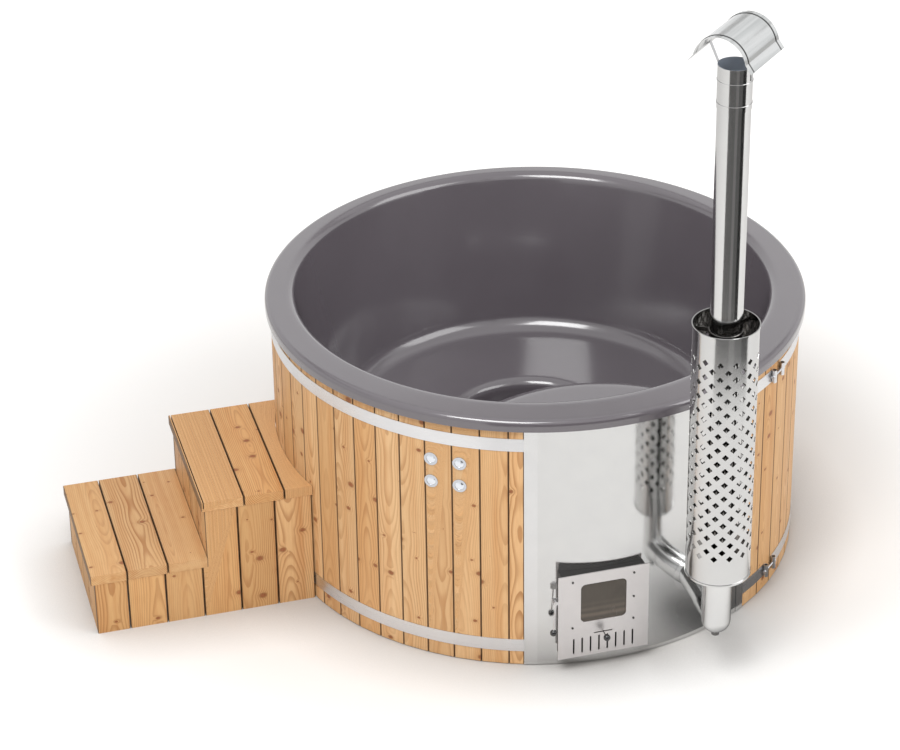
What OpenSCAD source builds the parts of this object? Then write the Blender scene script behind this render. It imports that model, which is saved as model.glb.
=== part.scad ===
// A wood-fired hot tub: a moulded shell in a round timber cladding, with a stove
// built in behind a polished panel, a free-standing chimney and a pair of steps.
// The origin is on the tub's axis at floor level. +Z is up, the stove faces -Y
// and the steps stand towards -X. All sizes are in millimetres and degrees.

/* [Tub] */
// Radius to the outer edge of the cladding boards
tub_r = 985; // [940:5:1050]
// Height of the rim above the floor
rim_z = 1021; // [1000:1:1060]
// Thickness of the cladding boards
stave_t = 28; // [24:1:34]
// Width of a full cladding board along the outside, seam to seam
stave_pitch = 101; // [90:1:115]
// Gap left open between two cladding boards
stave_gap = 2; // [1:0.5:4]
// Bevel along the outer edges of each cladding board
stave_bevel = 2.5; // [1:0.5:4]
// Height of the cladding above the floor
stave_foot = 3; // [2:1:10]
// Width of the narrow first board beside the panel
starter_w = 54; // [40:1:80]

/* [Shell] */
// Wall thickness of the moulded shell
shell_t = 8; // [6:0.5:10]
// Overhang of the rim past the cladding
rim_over = 18; // [15:1:85]
// Height of the lip that hangs over the cladding
lip_h = 41; // [30:1:60]
// Radius of the rounding on the outer edge of the rim
rim_round = 18; // [10:1:25]
// Distance by which the bath sits back from the tub's axis
bath_shift = 40; // [35:1:45]
// Radius of the rounding from the rim into the bath
mouth_round = 26; // [20:1:30]
// Distance from the cladding's face in to the mouth, at the rim's plane
mouth_in = 95; // [90:1:105]
// Distance by which the bath wall comes in from the mouth down to the seat
wall_in = 147; // [135:1:160]
// Height of the seat
seat_z = 394; // [370:1:420]
// Radius of the fillet between seat and wall
seat_fillet = 54; // [40:1:70]
// Distance by which the footwell sits back from the tub's axis
well_shift = 70; // [60:1:80]
// Radius of the footwell at seat level
well_r = 292; // [280:1:300]
// Inward lean of the footwell wall, bottom against top
well_lean = 20; // [10:1:30]
// Height of the footwell floor
well_z = 105; // [95:1:130]
// Radius of the rounding at the seat's front edge
well_round = 35; // [25:1:45]
// Radius of the fillet around the footwell floor
well_fillet = 60; // [40:1:80]

/* [Stove bulge of the shell] */
// Height of the shelf over the stove
bulge_z = 750; // [720:1:780]
// Radius of the bulge's curved back
bulge_r = 639; // [635:1:650]
// Where the curved back is centred, across
bulge_cx = -2; // [-10:1:5]
// Distance from the cladding's face in to where the curved back is centred
bulge_in = 116; // [110:1:125]
// Width of the bulge
bulge_w = 860; // [850:1:880]
// Middle of the bulge, across
bulge_x = 10; // [0:1:15]
// Rounding of the bulge's top edge
bulge_round = 100; // [80:1:110]

/* [Base and frame] */
// Height of the ground bearers
bearer_h = 38; // [30:1:42]
// Width of the ground bearers
bearer_w = 95; // [80:1:120]
// Spacing of the ground bearers
bearer_pitch = 380; // [340:5:400]
// Thickness of the base board
base_t = 14; // [10:1:15]
// Thickness of the wooden rings behind the cladding
ring_t = 18; // [15:1:24]
// Width of those rings
ring_w = 32; // [28:1:36]
// Distance from the rim down to the uppermost ring
ring_drop = 49; // [45:1:55]
// Thickness of the upright posts, outward
post_d = 50; // [45:1:55]
// Width of the upright posts
post_w = 70; // [60:1:80]
// Number of upright posts
post_count = 7; // [5:1:9]
// Side of the posts under the seat
seat_post = 70; // [60:1:80]
// Distance of those posts in from the seat's outer edge
seat_post_in = 168; // [140:1:185]
// Number of posts under the seat
seat_post_count = 6; // [5:1:6]
// Thickness of the foam on the shell
foam_t = 10; // [8:1:12]

/* [Hoops] */
// Width of the steel hoops
hoop_w = 50; // [40:1:60]
// Thickness of the steel hoops
hoop_t = 1.5; // [1:0.5:3]
// Height of the lower hoop's bottom edge
hoop_low_z = 59; // [40:1:80]
// Distance from the rim's top down to the upper hoop's top edge
hoop_drop = 79; // [70:1:100]
// Where the hoops are clamped, as an angle around the tub
clamp_angle = -45.6; // [-48:0.1:-42]
// Distance between the two lugs of a clamp
lug_pitch = 65; // [50:1:75]
// Outer radius of a clamp lug
lug_r = 9; // [7:0.5:11]
// Radius of the clamp bolt
clamp_bolt_r = 4; // [3:0.5:5]

/* [Front panel] */
// Left edge of the panel, as an angle around the tub
panel_left = -109.1; // [-111:0.1:-107]
// Right edge of the panel, as an angle around the tub
panel_right = -56.2; // [-58:0.1:-54]
// Thickness of the panel sheet
panel_t = 1.5; // [1:0.5:3]
// Width of the trim strip on the left edge
trim_left_w = 47; // [35:1:55]
// Width of the trim strip on the right edge
trim_right_w = 39; // [30:1:50]
// Thickness of the trim strips
trim_t = 1.5; // [1:0.5:2]
// Thickness of the upright battens behind the panel's edges
panel_post_d = 58; // [50:1:62]

/* [Stove] */
// Middle of the stove door, across
door_x = -54; // [-60:1:-48]
// Middle of the stove door, up
door_z = 230; // [228:1:235]
// Distance of the door plate's front from the cladding's face
door_out = 30; // [27:1:40]
// Width of the door plate
door_w = 336; // [330:1:345]
// Height of the door plate
door_h = 348; // [345:1:352]
// Thickness of the door plate
door_t = 4; // [3:0.5:6]
// How far the plate reaches past the door's housing at the sides
door_lap = 13; // [12:0.5:15]
// How far the plate reaches past the door's housing above and below
door_lap_z = 4; // [3:0.5:6]
// Thickness of the sheet of the housing
housing_t = 4; // [3:0.5:5]
// Width of the window
window_w = 169; // [150:1:175]
// Height of the window
window_h = 158; // [140:1:165]
// Height of the window's middle over the door's middle
window_up = 50; // [45:1:55]
// Corner radius of the window
window_round = 18; // [10:1:25]
// Thickness of the glass
glass_t = 4; // [3:0.5:5]
// How far the glass reaches past the window
glass_lap = 10; // [6:1:12]
// Width of the stove's water jacket
jacket_w = 675; // [650:1:680]
// Middle of the water jacket, across
jacket_x = 37.5; // [30:0.5:42]
// Distance from the cladding's face in to the stove's front
jacket_in = 125; // [120:1:140]
// Depth of the water jacket
jacket_d = 460; // [430:1:465]
// Height of the water jacket
jacket_h = 547; // [520:1:600]
// Wall of the water jacket
jacket_t = 4; // [3:0.5:6]
// Width of the water space around the firebox
water_gap = 26; // [20:1:30]
// Wall of the firebox
firebox_t = 6; // [4:0.5:8]
// Thickness of the grate bars
grate_bar = 10; // [8:1:12]
// Pitch of the grate bars
grate_pitch = 24; // [20:1:32]

/* [Door furniture] */
// Number of air slots in the door
air_count = 8; // [6:1:8]
// Pitch of the air slots
air_pitch = 31.4; // [28:0.1:32]
// Width of an air slot
air_w = 6; // [5:0.5:7]
// Length of an air slot
air_h = 65; // [55:1:70]
// How far the middle of the air slots lies below the door's middle
air_down = 127; // [125:1:130]
// Length of the slot in which the air knob runs
knob_slot_w = 68; // [60:1:72]
// How far that slot lies below the door's middle
knob_down = 82; // [81:0.5:84]
// Radius of the black ball knobs
ball_r = 12.5; // [10:0.5:14]
// Radius of the screws on the door
screw_r = 4; // [3:0.5:5]
// Radius of the hinge pin
hinge_r = 3; // [2.5:0.5:4]

/* [Chimney] */
// Place of the chimney's axis, across
flue_x = 300; // [290:1:310]
// Distance of the chimney's axis from the cladding's face
flue_out = 215; // [205:1:245]
// Radius of the flue pipe
flue_r = 56; // [50:0.5:60]
// Wall of the flue pipe
flue_t = 1.5; // [1:0.5:2]
// Height of the flue outlet's middle
flue_z = 281; // [276:1:286]
// Length of the collar at the chimney's top
collar_l = 150; // [130:1:160]
// How far that collar reaches down over the pipe
collar_lap = 77; // [60:1:80]
// Play between a pipe and the socket that it stands in
socket_gap = 0.2; // [0.1:0.05:0.3]
// Radius of the tee at the chimney's foot
tee_r = 52.5; // [50:0.5:53]
// Height of the shoulder on which the chimney stands
tee_top = 432; // [425:1:440]
// Height at which the tee's rounded bottom begins
tee_bend = 257; // [250:1:262]
// Length of one chimney pipe
pipe_l = 964; // [900:1:1050]
// Overlap of two pipes
pipe_lap = 50; // [40:1:60]
// Radius of the cover ring on the panel
rosette_r = 73; // [66:1:78]

/* [Heat guard] */
// Outer radius of the guard
guard_r = 113; // [105:1:120]
// Wall of the guard
guard_t = 1.5; // [1:0.5:2]
// Height of the guard's bottom
guard_z = 462; // [440:1:480]
// Length of the guard
guard_h = 981; // [900:1:1000]
// Number of holes around the guard
hole_count = 13; // [10:1:14]
// Distance between two rows of holes
hole_row = 27.3; // [26:0.1:32]
// Side of a square hole
hole_side = 17.5; // [14:0.5:18]
// Number of rows of holes
hole_rows = 29; // [9:2:29]
// Angle by which the holes are turned around the guard
hole_turn = -7.5; // [-14:0.5:14]

/* [Rain cowl] */
// Radius of the cowl's arch
cowl_r = 94; // [85:1:105]
// Half of the angle that the arch covers
cowl_angle = 80; // [70:1:85]
// Length of the cowl
cowl_l = 245; // [220:1:280]
// Thickness of the cowl's sheet
cowl_t = 1.5; // [1:0.5:2]
// Width of the eaves along the cowl
eave_w = 34; // [25:1:40]
// Slope of the eaves
eave_slope = 53; // [45:1:60]
// Height of the arch's feet over the top of the pipe
cowl_up = 58; // [50:1:70]
// Direction of the cowl's length
cowl_turn = 44; // [0:1:90]

/* [Buttons] */
// Angle around the tub of the left pair of buttons
button_angle = -128.4; // [-129:0.1:-128]
// Distance between the buttons along the tub
button_dx = 105; // [100:1:108]
// Distance between the buttons up the tub
button_dz = 90; // [80:1:100]
// Height of the lower buttons
button_z = 733; // [700:1:760]
// Radius of a button's ring
bezel_r = 25; // [22:0.5:27]
// Radius of the push-button
button_r = 16; // [14:0.5:18]
// Travel of a push-button
button_travel = 3; // [2:0.5:4]

/* [Drain] */
// Angle around the tub of the drain
drain_angle = 86; // [82:1:90]
// Radius of the drain pipe
drain_r = 25; // [20:1:28]
// Height of the drain pipe's middle
drain_z = 190; // [185:1:200]
// How far the drain pipe reaches past the cladding
drain_reach = 130; // [120:1:150]

/* [Steps] */
// Rise of a step
step_rise = 237; // [220:1:245]
// Height of the lower tread
step_low = 250; // [235:1:260]
// Thickness of the treads
tread_t = 38; // [30:1:42]
// Width of a tread board
tread_board = 145; // [130:1:150]
// Gap between tread boards
tread_gap = 4; // [2:0.5:6]
// Length of the treads
tread_l = 642; // [600:1:700]
// Middle of the steps, along Y
step_y = 18; // [-20:1:40]
// Width of the narrower board at the nose of the lower tread
nose_board = 131; // [110:1:145]
// How far the treads reach past the boards below
tread_lap = 13; // [8:1:20]
// Thickness of the side boards
side_t = 20; // [16:1:24]
// Width of a side board
side_board = 134; // [130:1:135]
// Thickness of the riser boards
riser_t = 20; // [16:1:24]
// Space between the steps and the tub
step_gap = 0.5; // [0.3:0.1:1]
// Side of the battens inside the steps
batten = 38; // [30:1:45]

/* [Fit] */
// Clearance where a flat part slides in a frame
slide_gap = 0.5; // [0.3:0.1:0.8]
// Clearance where a rigid part rests close to its seat
seat_gap = 0.3; // [0.2:0.05:0.5]
// Radial clearance of a pin in its hole
pin_gap = 0.05; // [0.02:0.01:0.08]

/* [Hidden] */
$fn = 96;
round_fn = 360;
cut = 1;

// Colours
pine = [0.80, 0.56, 0.33];
raw_wood = [0.74, 0.60, 0.42];
gelcoat = [0.55, 0.51, 0.55];
steel = [0.80, 0.81, 0.82];
dark_steel = [0.22, 0.22, 0.23];
black = [0.07, 0.07, 0.07];
glass_tint = [0.10, 0.10, 0.11];
foam_tint = [0.85, 0.80, 0.62];

// What follows the tub's own size
rim_r = tub_r + rim_over;
mouth_r = tub_r - mouth_in;
seat_r = mouth_r - wall_in;
bulge_cy = bulge_in - tub_r;
seat_post_r = seat_r - seat_post_in;
door_face = tub_r + door_out;
jacket_front = tub_r - jacket_in;
flue_y = tub_r + flue_out;

// Cladding boards: a narrow first one, then full ones around to the panel's other edge
starter_deg = starter_w / tub_r * 180 / PI;
boards_from = panel_left - starter_deg;
boards_span = boards_from + 360 - panel_right;
board_count = round(boards_span * PI / 180 * tub_r / stave_pitch);
board_deg = boards_span / board_count;
stave_face = tub_r * cos(board_deg / 2);
stave_in = stave_face - stave_t;
stave_top = rim_z - shell_t - seat_gap;
function board_at(angle) = floor((boards_from - angle) / board_deg);
function board_mid(k) = boards_from - (k + 0.5) * board_deg;

// Frame behind the cladding
base_top = bearer_h + base_t;
ring_out = stave_in - seat_gap;
ring_in = ring_out - ring_t;
wood_span = 360 - (panel_right - panel_left);
post_face = sqrt(pow(ring_in, 2) - pow(post_w / 2, 2)) - seat_gap;
post_top = rim_z - ring_drop - ring_w;
ring_heights = [base_top, (base_top + post_top) / 2, post_top];
bearer_inset = 10;
seat_post_from = -15;
seat_post_span = 210;
well_batten_l = 500;
well_batten_y = [-20, 180];
panel_post_off = 0.5;
panel_post_drop = 5;

// Shell: the hollow of a bowl, or with d the same hollow grown by a wall
function arc(c, r, a0, a1, n) =
    [for (i = [0:n]) [c[0] + r * cos(a0 + (a1 - a0) * i / n),
                      c[1] + r * sin(a0 + (a1 - a0) * i / n)]];
function lean(r1, z1, r0, z0) = atan((r1 - r0) / (z1 - z0));
function flat_end(r1, z1, round, r0, z0) = r1 + round * tan(45 - lean(r1, z1, r0, z0) / 2);
function bowl(r1, z1, round, r0, z0, fillet, d) = concat(
    [[0, z0 - d]],
    arc([r0 - fillet * tan(45 - lean(r1, z1, r0, z0) / 2), z0 + fillet], fillet + d,
        -90, -lean(r1, z1, r0, z0), 10),
    arc([flat_end(r1, z1, round, r0, z0), z1 - round], round - d,
        180 - lean(r1, z1, r0, z0), 90, 8),
    d > 0 ? [] : [[flat_end(r1, z1, round, r0, z0), z1 + cut]],
    [[0, d > 0 ? z1 - d : z1 + cut]]);
wall_lean = lean(mouth_r, rim_z, seat_r, seat_z);
function wall_r(z) = seat_r + (z - seat_z) * tan(wall_lean);
function well_wall_r(z) = well_r - (seat_z - z) * well_lean / (seat_z - well_z);

// Stove and the door in front of it
jacket_top = base_top + jacket_h;
housing_w = door_w - 2 * door_lap;
housing_h = door_h - 2 * door_lap_z;
door_back = -door_face + door_t;
gasket_t = 3;
housing_y = door_back + seat_gap + gasket_t;
glass_y = door_back;
frame_plate = 2;
slider_t = 2;
slider_half = (air_count - 1) * air_pitch / 2 + air_w / 2 + 5;
slider_low = door_z - air_down - air_h / 2 - 2.5;
slider_high = door_z - knob_down + 10;
slider_y = door_back + slide_gap;
rail_w = 3;
stem_r = 2;
knob_slot_h = 2 * stem_r + 0.5;
hinge_x = door_x + door_w / 2 - 5.5;
knuckle_r = hinge_r + 2;
hinge_y = door_back + knuckle_r + 1;
knuckle_h = 20;
bracket_d = 22;
hinge_rows = [door_z - 105, door_z + 95];
latch_x = door_x - door_w / 2 - 10;
latch_z = door_z + 75;
latch_y = -door_face - seat_gap;
latch_hub_h = 8;
latch_hub_r = 8;
latch_reach = 125;
latch_pin_r = 3;
latch_tilt = 4;
knob_out = 42;
screw_shaft = 2.5;
// Head radius, shank radius and depth in the board of the screws under the treads
tread_screw_head = 4.5;
tread_screw_r = 2.25;
tread_screw_bite = 24;
frame_half = 125;
frame_up = 155;
frame_down = 58;
mouth_w = housing_w - 2 * housing_t;
fire_low = base_top + jacket_t + firebox_t;
outlet_deep = 60;
outlet_lap = 6;
outlet_weld = 4;
grate_side = 12;
grate_front = 20;
grate_bearers = [50, 50];
grate_bearer_w = 15;
grate_leg = 20;
knob_bury = 3;
screw_tail = 2;

// Chimney
flue_in = flue_r - flue_t;
socket_in = flue_r + socket_gap;
socket_r = socket_in + flue_t;
outlet_r = tee_r - flue_t - socket_gap;
lower_pipe_z = tee_top;
upper_pipe_z = lower_pipe_z + pipe_l - pipe_lap;
collar_z = upper_pipe_z + pipe_l - collar_lap;
flue_top = collar_z + collar_l;
cowl_foot = flue_top + cowl_up;
cowl_axis = cowl_foot - cowl_r * cos(cowl_angle);
strut_half = 6;
strut_t = 2;
strut_low = 45;
strut_bend = 8;
strut_tab = 25;
bead_out = 1.5;
collar_bead_w = 4;
collar_beads = [18, collar_l - 54];
cowl_bead_w = 3;
cowl_bead_in = 20;
socket_floor = 3;
plug_r = 14;
plug_h = 18;
tee_branch = 42;
guard_rim = 6;
guard_rim_out = 3;
clamp_t = 2;
clamp_h = 15;
clamp_rows = [15, guard_h - 40];
clamp_spokes = [30, 150, 270];

// Hoops, buttons, water and drain
hoop_high_z = rim_z - hoop_drop - hoop_w;
clamp_r = tub_r + hoop_t + lug_r;
lug_half = asin(lug_pitch / 2 / clamp_r);
bolt_half = lug_pitch / 2 + lug_r;
bolt_tail = 8;
bolt_head_h = 5;
nut_h = 6;
nut_r = 1.8 * clamp_bolt_r;
lug_wall = 2;
hoop_end_deg = 0.3;
barrel_wall = 2.3;
barrel_r = button_r + barrel_wall;
barrel_h = stave_t + 8;
bezel_t = 3;
barrel_floor = 2;
button_dome_r = 3 * button_r;
button_dome_up = 5;
water_r = 22;
water_x = 0;
strainer_out = 9;
strainer_t = 6;
strainer_lip = 12;
water_wall = 2;
drain_wall = 3;
cap_wall = 5;
cap_deep = 25;
cap_end = 4;
water_z = [(base_top + seat_z) / 2, jacket_top - 70];
water_end = [well_shift - well_wall_r(water_z[0]) + strainer_out,
    bulge_cy + sqrt(pow(bulge_r, 2) - pow(water_x - bulge_cx, 2)) + strainer_out];
jacket_back = jacket_d - jacket_front;
drain_mid = board_mid(board_at(drain_angle - 360));
drain_in = well_shift * sin(drain_mid)
    + sqrt(pow(well_wall_r(drain_z), 2) - pow(well_shift * cos(drain_mid), 2)) - strainer_out;
wall_skin = shell_t / cos(wall_lean) + 0.5;
foam_low = seat_z + seat_fillet;
foam_high = post_top - 10;
hole_mid = guard_h / 2 + 4.4;

// Steps
nosing_w = 6;
groove_d = 26;
side_pitch = side_board + tread_gap;
tread_pitch = tread_board + tread_gap;
step_front = step_y - tread_l / 2;
step_back = step_y + tread_l / 2;
side_end = -sqrt(pow(tub_r + hoop_t, 2) - pow(step_front, 2)) - tread_gap;
lower_join = side_end - 3 * side_pitch + tread_gap;
riser_x = lower_join + 19;
upper_left = riser_x - tread_lap;
lower_left = riser_x - seat_gap - 2 * tread_pitch - nose_board;
nose_x = lower_left + tread_lap;
step_high = step_low + step_rise;
leg_low = step_low - tread_t;
leg_high = step_high - tread_t;
wall_inset = 2;
riser_boards = 4;
riser_gap = 1;
tread_screw_in = [20, 48];
tread_screw_head_h = 3;
inner_front = step_front + side_t;
inner_back = step_back - side_t;

// ---- Shapes used by several pieces ----

// A tube standing on the plane z = 0
module tube(outer, inner, h) {
    difference() {
        cylinder(r = outer, h = h);
        translate([0, 0, -cut]) cylinder(r = inner, h = h + 2 * cut);
    }
}

// A band around the tub's axis between two angles
module band(inner, outer, z, h, from, to) {
    translate([0, 0, z]) rotate([0, 0, from]) rotate_extrude(angle = to - from, $fn = round_fn)
        translate([inner, 0]) square([outer - inner, h]);
}

// A box given by its lowest and highest corner
module box(low, high) {
    translate(low) cube(high - low);
}

// Turns a piece that stands along Z so that it points towards -Y
module to_front(x, y, z) {
    translate([x, y, z]) rotate([90, 0, 0]) children();
}

// Puts a piece on the outside of the cladding board that covers an angle
module on_board(angle, z) {
    mid = board_mid(board_at(angle));
    rotate([0, 0, mid]) translate([stave_face, stave_face * tan(angle - mid), z])
        rotate([0, 90, 0]) children();
}

// The four buttons' places
module button_place(i) {
    angle = button_angle + (i % 2) * button_dx / tub_r * 180 / PI;
    on_board(angle, button_z + floor(i / 2) * button_dz) children();
}

// The drain's place, in the middle of a board
module drain_place(r) {
    rotate([0, 0, drain_mid]) translate([r, 0, drain_z])
        rotate([0, 90, 0]) children();
}

// ---- Base and frame ----

module base_bearers() {
    color(raw_wood) for (i = [-2:2]) {
        edge = abs(i) * bearer_pitch + bearer_w / 2;
        half = sqrt(pow(ring_out - bearer_inset, 2) - pow(edge, 2));
        box([i * bearer_pitch - bearer_w / 2, -half, 0],
            [i * bearer_pitch + bearer_w / 2, half, bearer_h]);
    }
}

module base_board() {
    color(raw_wood) translate([0, 0, bearer_h]) cylinder(r = ring_out, h = base_t, $fn = round_fn);
}

// Posts under the seat and battens under the footwell
module shell_supports() {
    color(raw_wood) {
        for (i = [0:seat_post_count - 1])
            rotate([0, 0, seat_post_from + i * seat_post_span / (seat_post_count - 1)])
                box([seat_post_r - seat_post / 2, -seat_post / 2, base_top],
                    [seat_post_r + seat_post / 2, seat_post / 2, seat_z - shell_t]);
        for (y = well_batten_y)
            box([-well_batten_l / 2, y, base_top],
                [well_batten_l / 2, y + seat_post, well_z - shell_t]);
    }
}

// Uprights that carry the rings, hollowed where the foam needs the room
module frame_posts() {
    color(raw_wood) difference() {
        for (i = [1:post_count]) rotate([0, 0, panel_right + i * wood_span / (post_count + 1)])
            box([post_face - post_d, -post_w / 2, base_top], [post_face, post_w / 2, post_top]);
        bath_form(shell_t + foam_t + seat_gap);
    }
}

module stave_rings() {
    color(raw_wood) for (z = ring_heights)
        band(ring_in, ring_out, z, ring_w, panel_right, panel_left + 360);
}

// Battens just inside the panel's two upright edges
module panel_posts() {
    color(raw_wood) {
        rotate([0, 0, panel_left]) panel_post(1);
        rotate([0, 0, panel_right]) panel_post(-1);
    }
}

module panel_post(side) {
    outer = tub_r - panel_t;
    intersection() {
        box([outer - panel_post_d, side > 0 ? panel_post_off : -post_w, base_top],
            [outer + cut, side > 0 ? post_w : -panel_post_off,
            rim_z - shell_t - panel_post_drop]);
        cylinder(r = outer - 0.1, h = rim_z, $fn = round_fn);
    }
}

// ---- Shell ----

// The bulge over the stove: a round back and straight sides, set in by d
module bulge(d) {
    side = bulge_w / 2;
    top = bulge_z - bulge_round;
    intersection() {
        translate([bulge_cx, bulge_cy, 0]) rotate_extrude($fn = round_fn)
            polygon(concat([[0, cut], [bulge_r - d, cut]],
                arc([bulge_r - bulge_round, top], bulge_round - d, 0, 90, 8),
                [[0, bulge_z - d]]));
        translate([bulge_x, 0, 0]) rotate([90, 0, 0]) linear_extrude(tub_r)
            polygon(concat([[side - d, 0]],
                arc([side - bulge_round, top], bulge_round - d, 0, 90, 8),
                arc([bulge_round - side, top], bulge_round - d, 90, 180, 8),
                [[d - side, 0]]));
    }
}

// The bath with its footwell, grown by d
module bath_form(d) {
    translate([0, bath_shift, 0]) rotate_extrude($fn = round_fn)
        polygon(bowl(mouth_r, rim_z, mouth_round, seat_r, seat_z, seat_fillet, d));
    translate([0, well_shift, 0]) rotate_extrude($fn = round_fn)
        polygon(bowl(well_r, seat_z, well_round, well_r - well_lean, well_z, well_fillet, d));
}

// The rim as a thick round plate, set in by d
module rim_form(d) {
    rotate_extrude($fn = round_fn) polygon(concat([[0, rim_z - lip_h], [rim_r - d, rim_z - lip_h]],
        arc([rim_r - rim_round, rim_z - rim_round], rim_round - d, 0, 90, 6),
        [[0, rim_z - d]]));
}

module tub_shell() {
    color(gelcoat) difference() {
        union() {
            difference() {
                union() {
                    difference() {
                        rim_form(0);
                        rim_form(shell_t);
                        translate([0, 0, rim_z - lip_h - cut])
                            cylinder(r = rim_r - shell_t, h = 2 * cut, $fn = round_fn);
                    }
                    bath_form(shell_t);
                }
                bath_form(0);
            }
            intersection() {
                bulge(0);
                bath_form(shell_t / 2);
            }
        }
        bulge(shell_t);
        shell_ports();
    }
}

// Holes for the two water pipes of the stove and for the drain
module shell_ports() {
    for (i = [0, 1]) translate([water_x, jacket_back + cut, water_z[i]]) rotate([-90, 0, 0])
        cylinder(r = water_r + pin_gap, h = water_end[i] - jacket_back);
    drain_place(drain_in) cylinder(r = drain_r + pin_gap, h = 3 * strainer_out + 2 * shell_t);
}

// Foam against the back of the wall, all around but for the stove's side
module insulation() {
    color(foam_tint) difference() {
        translate([0, bath_shift, 0]) rotate_extrude($fn = round_fn)
            polygon([[wall_r(foam_low) + wall_skin, foam_low],
                [wall_r(foam_low) + wall_skin + foam_t, foam_low],
                [wall_r(foam_high) + wall_skin + foam_t, foam_high],
                [wall_r(foam_high) + wall_skin, foam_high]]);
        box([bulge_x - bulge_w / 2 - foam_t, -tub_r, 0], [bulge_x + bulge_w / 2 + foam_t, 0, rim_z]);
    }
}

// ---- Cladding and hoops ----

module stave(mid, span) {
    half = span / 2;
    face = tub_r * cos(half);
    back = face - stave_t;
    hw = face * tan(half) - stave_gap / 2;
    back_hw = back * tan(half) - stave_gap / 2;
    rotate([0, 0, mid]) translate([0, 0, stave_foot]) linear_extrude(stave_top - stave_foot)
        polygon([[back, -back_hw], [face - stave_bevel, -hw], [face, stave_bevel - hw],
            [face, hw - stave_bevel], [face - stave_bevel, hw], [back, back_hw]]);
}

module cladding_staves() {
    color(pine) difference() {
        union() {
            stave(panel_left - starter_deg / 2, starter_deg);
            for (k = [0:board_count - 1]) stave(board_mid(k), board_deg);
        }
        for (i = [0:3]) button_place(i) translate([0, 0, -2 * stave_t])
            cylinder(r = barrel_r + pin_gap, h = 3 * stave_t);
        drain_place(stave_in - 10) cylinder(r = drain_r + 1, h = 2 * stave_t);
    }
}

// A split hoop from one edge of the panel around to the other
module hoop(z) {
    half_split = lug_pitch / tub_r * 180 / PI / 2;
    band(tub_r, tub_r + hoop_t, z, hoop_w, clamp_angle + half_split - hoop_end_deg, panel_left + 360);
    band(tub_r, tub_r + hoop_t, z, hoop_w, panel_right, clamp_angle - half_split + hoop_end_deg);
}

module hoop_upper() { color(steel) hoop(hoop_high_z); }
module hoop_lower() { color(steel) hoop(hoop_low_z); }

// Puts a piece across a clamp, with its X axis along the clamp's bolt
module clamp_place(z) {
    rotate([0, 0, clamp_angle]) translate([clamp_r * cos(lug_half), 0, z + hoop_w / 2])
        rotate([0, 0, 90]) children();
}

module hoop_lugs() {
    color(steel) for (z = [hoop_low_z, hoop_high_z]) clamp_place(z) difference() {
        for (side = [-1, 1])
            translate([side * lug_pitch / 2, 0, -hoop_w / 2]) tube(lug_r, lug_r - lug_wall, hoop_w);
        rotate([0, 90, 0]) translate([0, 0, -lug_pitch])
            cylinder(r = clamp_bolt_r + pin_gap, h = 2 * lug_pitch);
    }
}

module hoop_bolts() {
    color(steel) for (z = [hoop_low_z, hoop_high_z]) clamp_place(z) rotate([0, 90, 0]) {
        translate([0, 0, -bolt_half - bolt_tail])
            cylinder(r = clamp_bolt_r, h = 2 * bolt_half + bolt_tail);
        translate([0, 0, bolt_half]) cylinder(r = nut_r, h = bolt_head_h, $fn = 6);
    }
}

module hoop_nuts() {
    color(steel) for (z = [hoop_low_z, hoop_high_z]) clamp_place(z)
        rotate([0, 90, 0]) translate([0, 0, -bolt_half - nut_h]) difference() {
            cylinder(r = nut_r, h = nut_h, $fn = 6);
            translate([0, 0, -cut]) cylinder(r = clamp_bolt_r + pin_gap, h = nut_h + 2 * cut);
        }
}

// ---- Front panel ----

module steel_panel() {
    color(steel) difference() {
        band(tub_r - panel_t, tub_r, stave_foot, stave_top - stave_foot, panel_left, panel_right);
        box([door_x - housing_w / 2 - seat_gap, -2 * tub_r, door_z - housing_h / 2 - seat_gap],
            [door_x + housing_w / 2 + seat_gap, 0, door_z + housing_h / 2 + seat_gap]);
        to_front(flue_x, 0, flue_z) cylinder(r = outlet_r + seat_gap, h = 2 * tub_r);
    }
}

module panel_trims() {
    left_deg = trim_left_w / tub_r * 180 / PI;
    right_deg = trim_right_w / tub_r * 180 / PI;
    trim_top = rim_z - lip_h - seat_gap;
    face = tub_r + seat_gap;
    color(steel) {
        band(face, face + trim_t, stave_foot, trim_top - stave_foot,
            panel_left, panel_left + left_deg);
        band(face, face + trim_t, stave_foot, trim_top - stave_foot,
            panel_right - right_deg, panel_right);
    }
}

// ---- Stove ----

// A box around the stove's middle, set in from the jacket's outside by d on each side
module jacket_box(d, low, high, front) {
    box([jacket_x - jacket_w / 2 + d, -jacket_front + front, low],
        [jacket_x + jacket_w / 2 - d, -jacket_front + jacket_d - d, high]);
}

module stove_body() {
    inner = jacket_t + water_gap;
    fire_floor = base_top + jacket_t;
    color(dark_steel) difference() {
        jacket_box(0, base_top, jacket_top, 0);
        difference() {
            jacket_box(jacket_t, base_top + jacket_t, jacket_top - jacket_t, jacket_t);
            jacket_box(inner, fire_floor, jacket_top - inner, inner);
            fire_mouth(firebox_t);
            to_front(flue_x, inner + outlet_deep - jacket_front, flue_z)
                cylinder(r = outlet_r + outlet_weld, h = inner + outlet_deep);
        }
        jacket_box(inner + firebox_t, fire_floor + firebox_t, jacket_top - inner - firebox_t,
            inner + firebox_t);
        fire_mouth(0);
        to_front(flue_x, inner + outlet_deep - outlet_lap - jacket_front, flue_z)
            cylinder(r = outlet_r - flue_t, h = inner + outlet_deep);
        for (z = water_z)
            translate([water_x, jacket_back - 2 * jacket_t, z]) rotate([-90, 0, 0])
                cylinder(r = water_r + pin_gap, h = 4 * jacket_t);
    }
}

// The way from the door's housing through the water space into the firebox
module fire_mouth(wall) {
    box([door_x - mouth_w / 2 - wall, -jacket_front - cut, fire_low - wall],
        [door_x + mouth_w / 2 + wall, -jacket_front + jacket_t + water_gap + firebox_t + cut,
        door_z + housing_h / 2 - housing_t + wall]);
}

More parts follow.
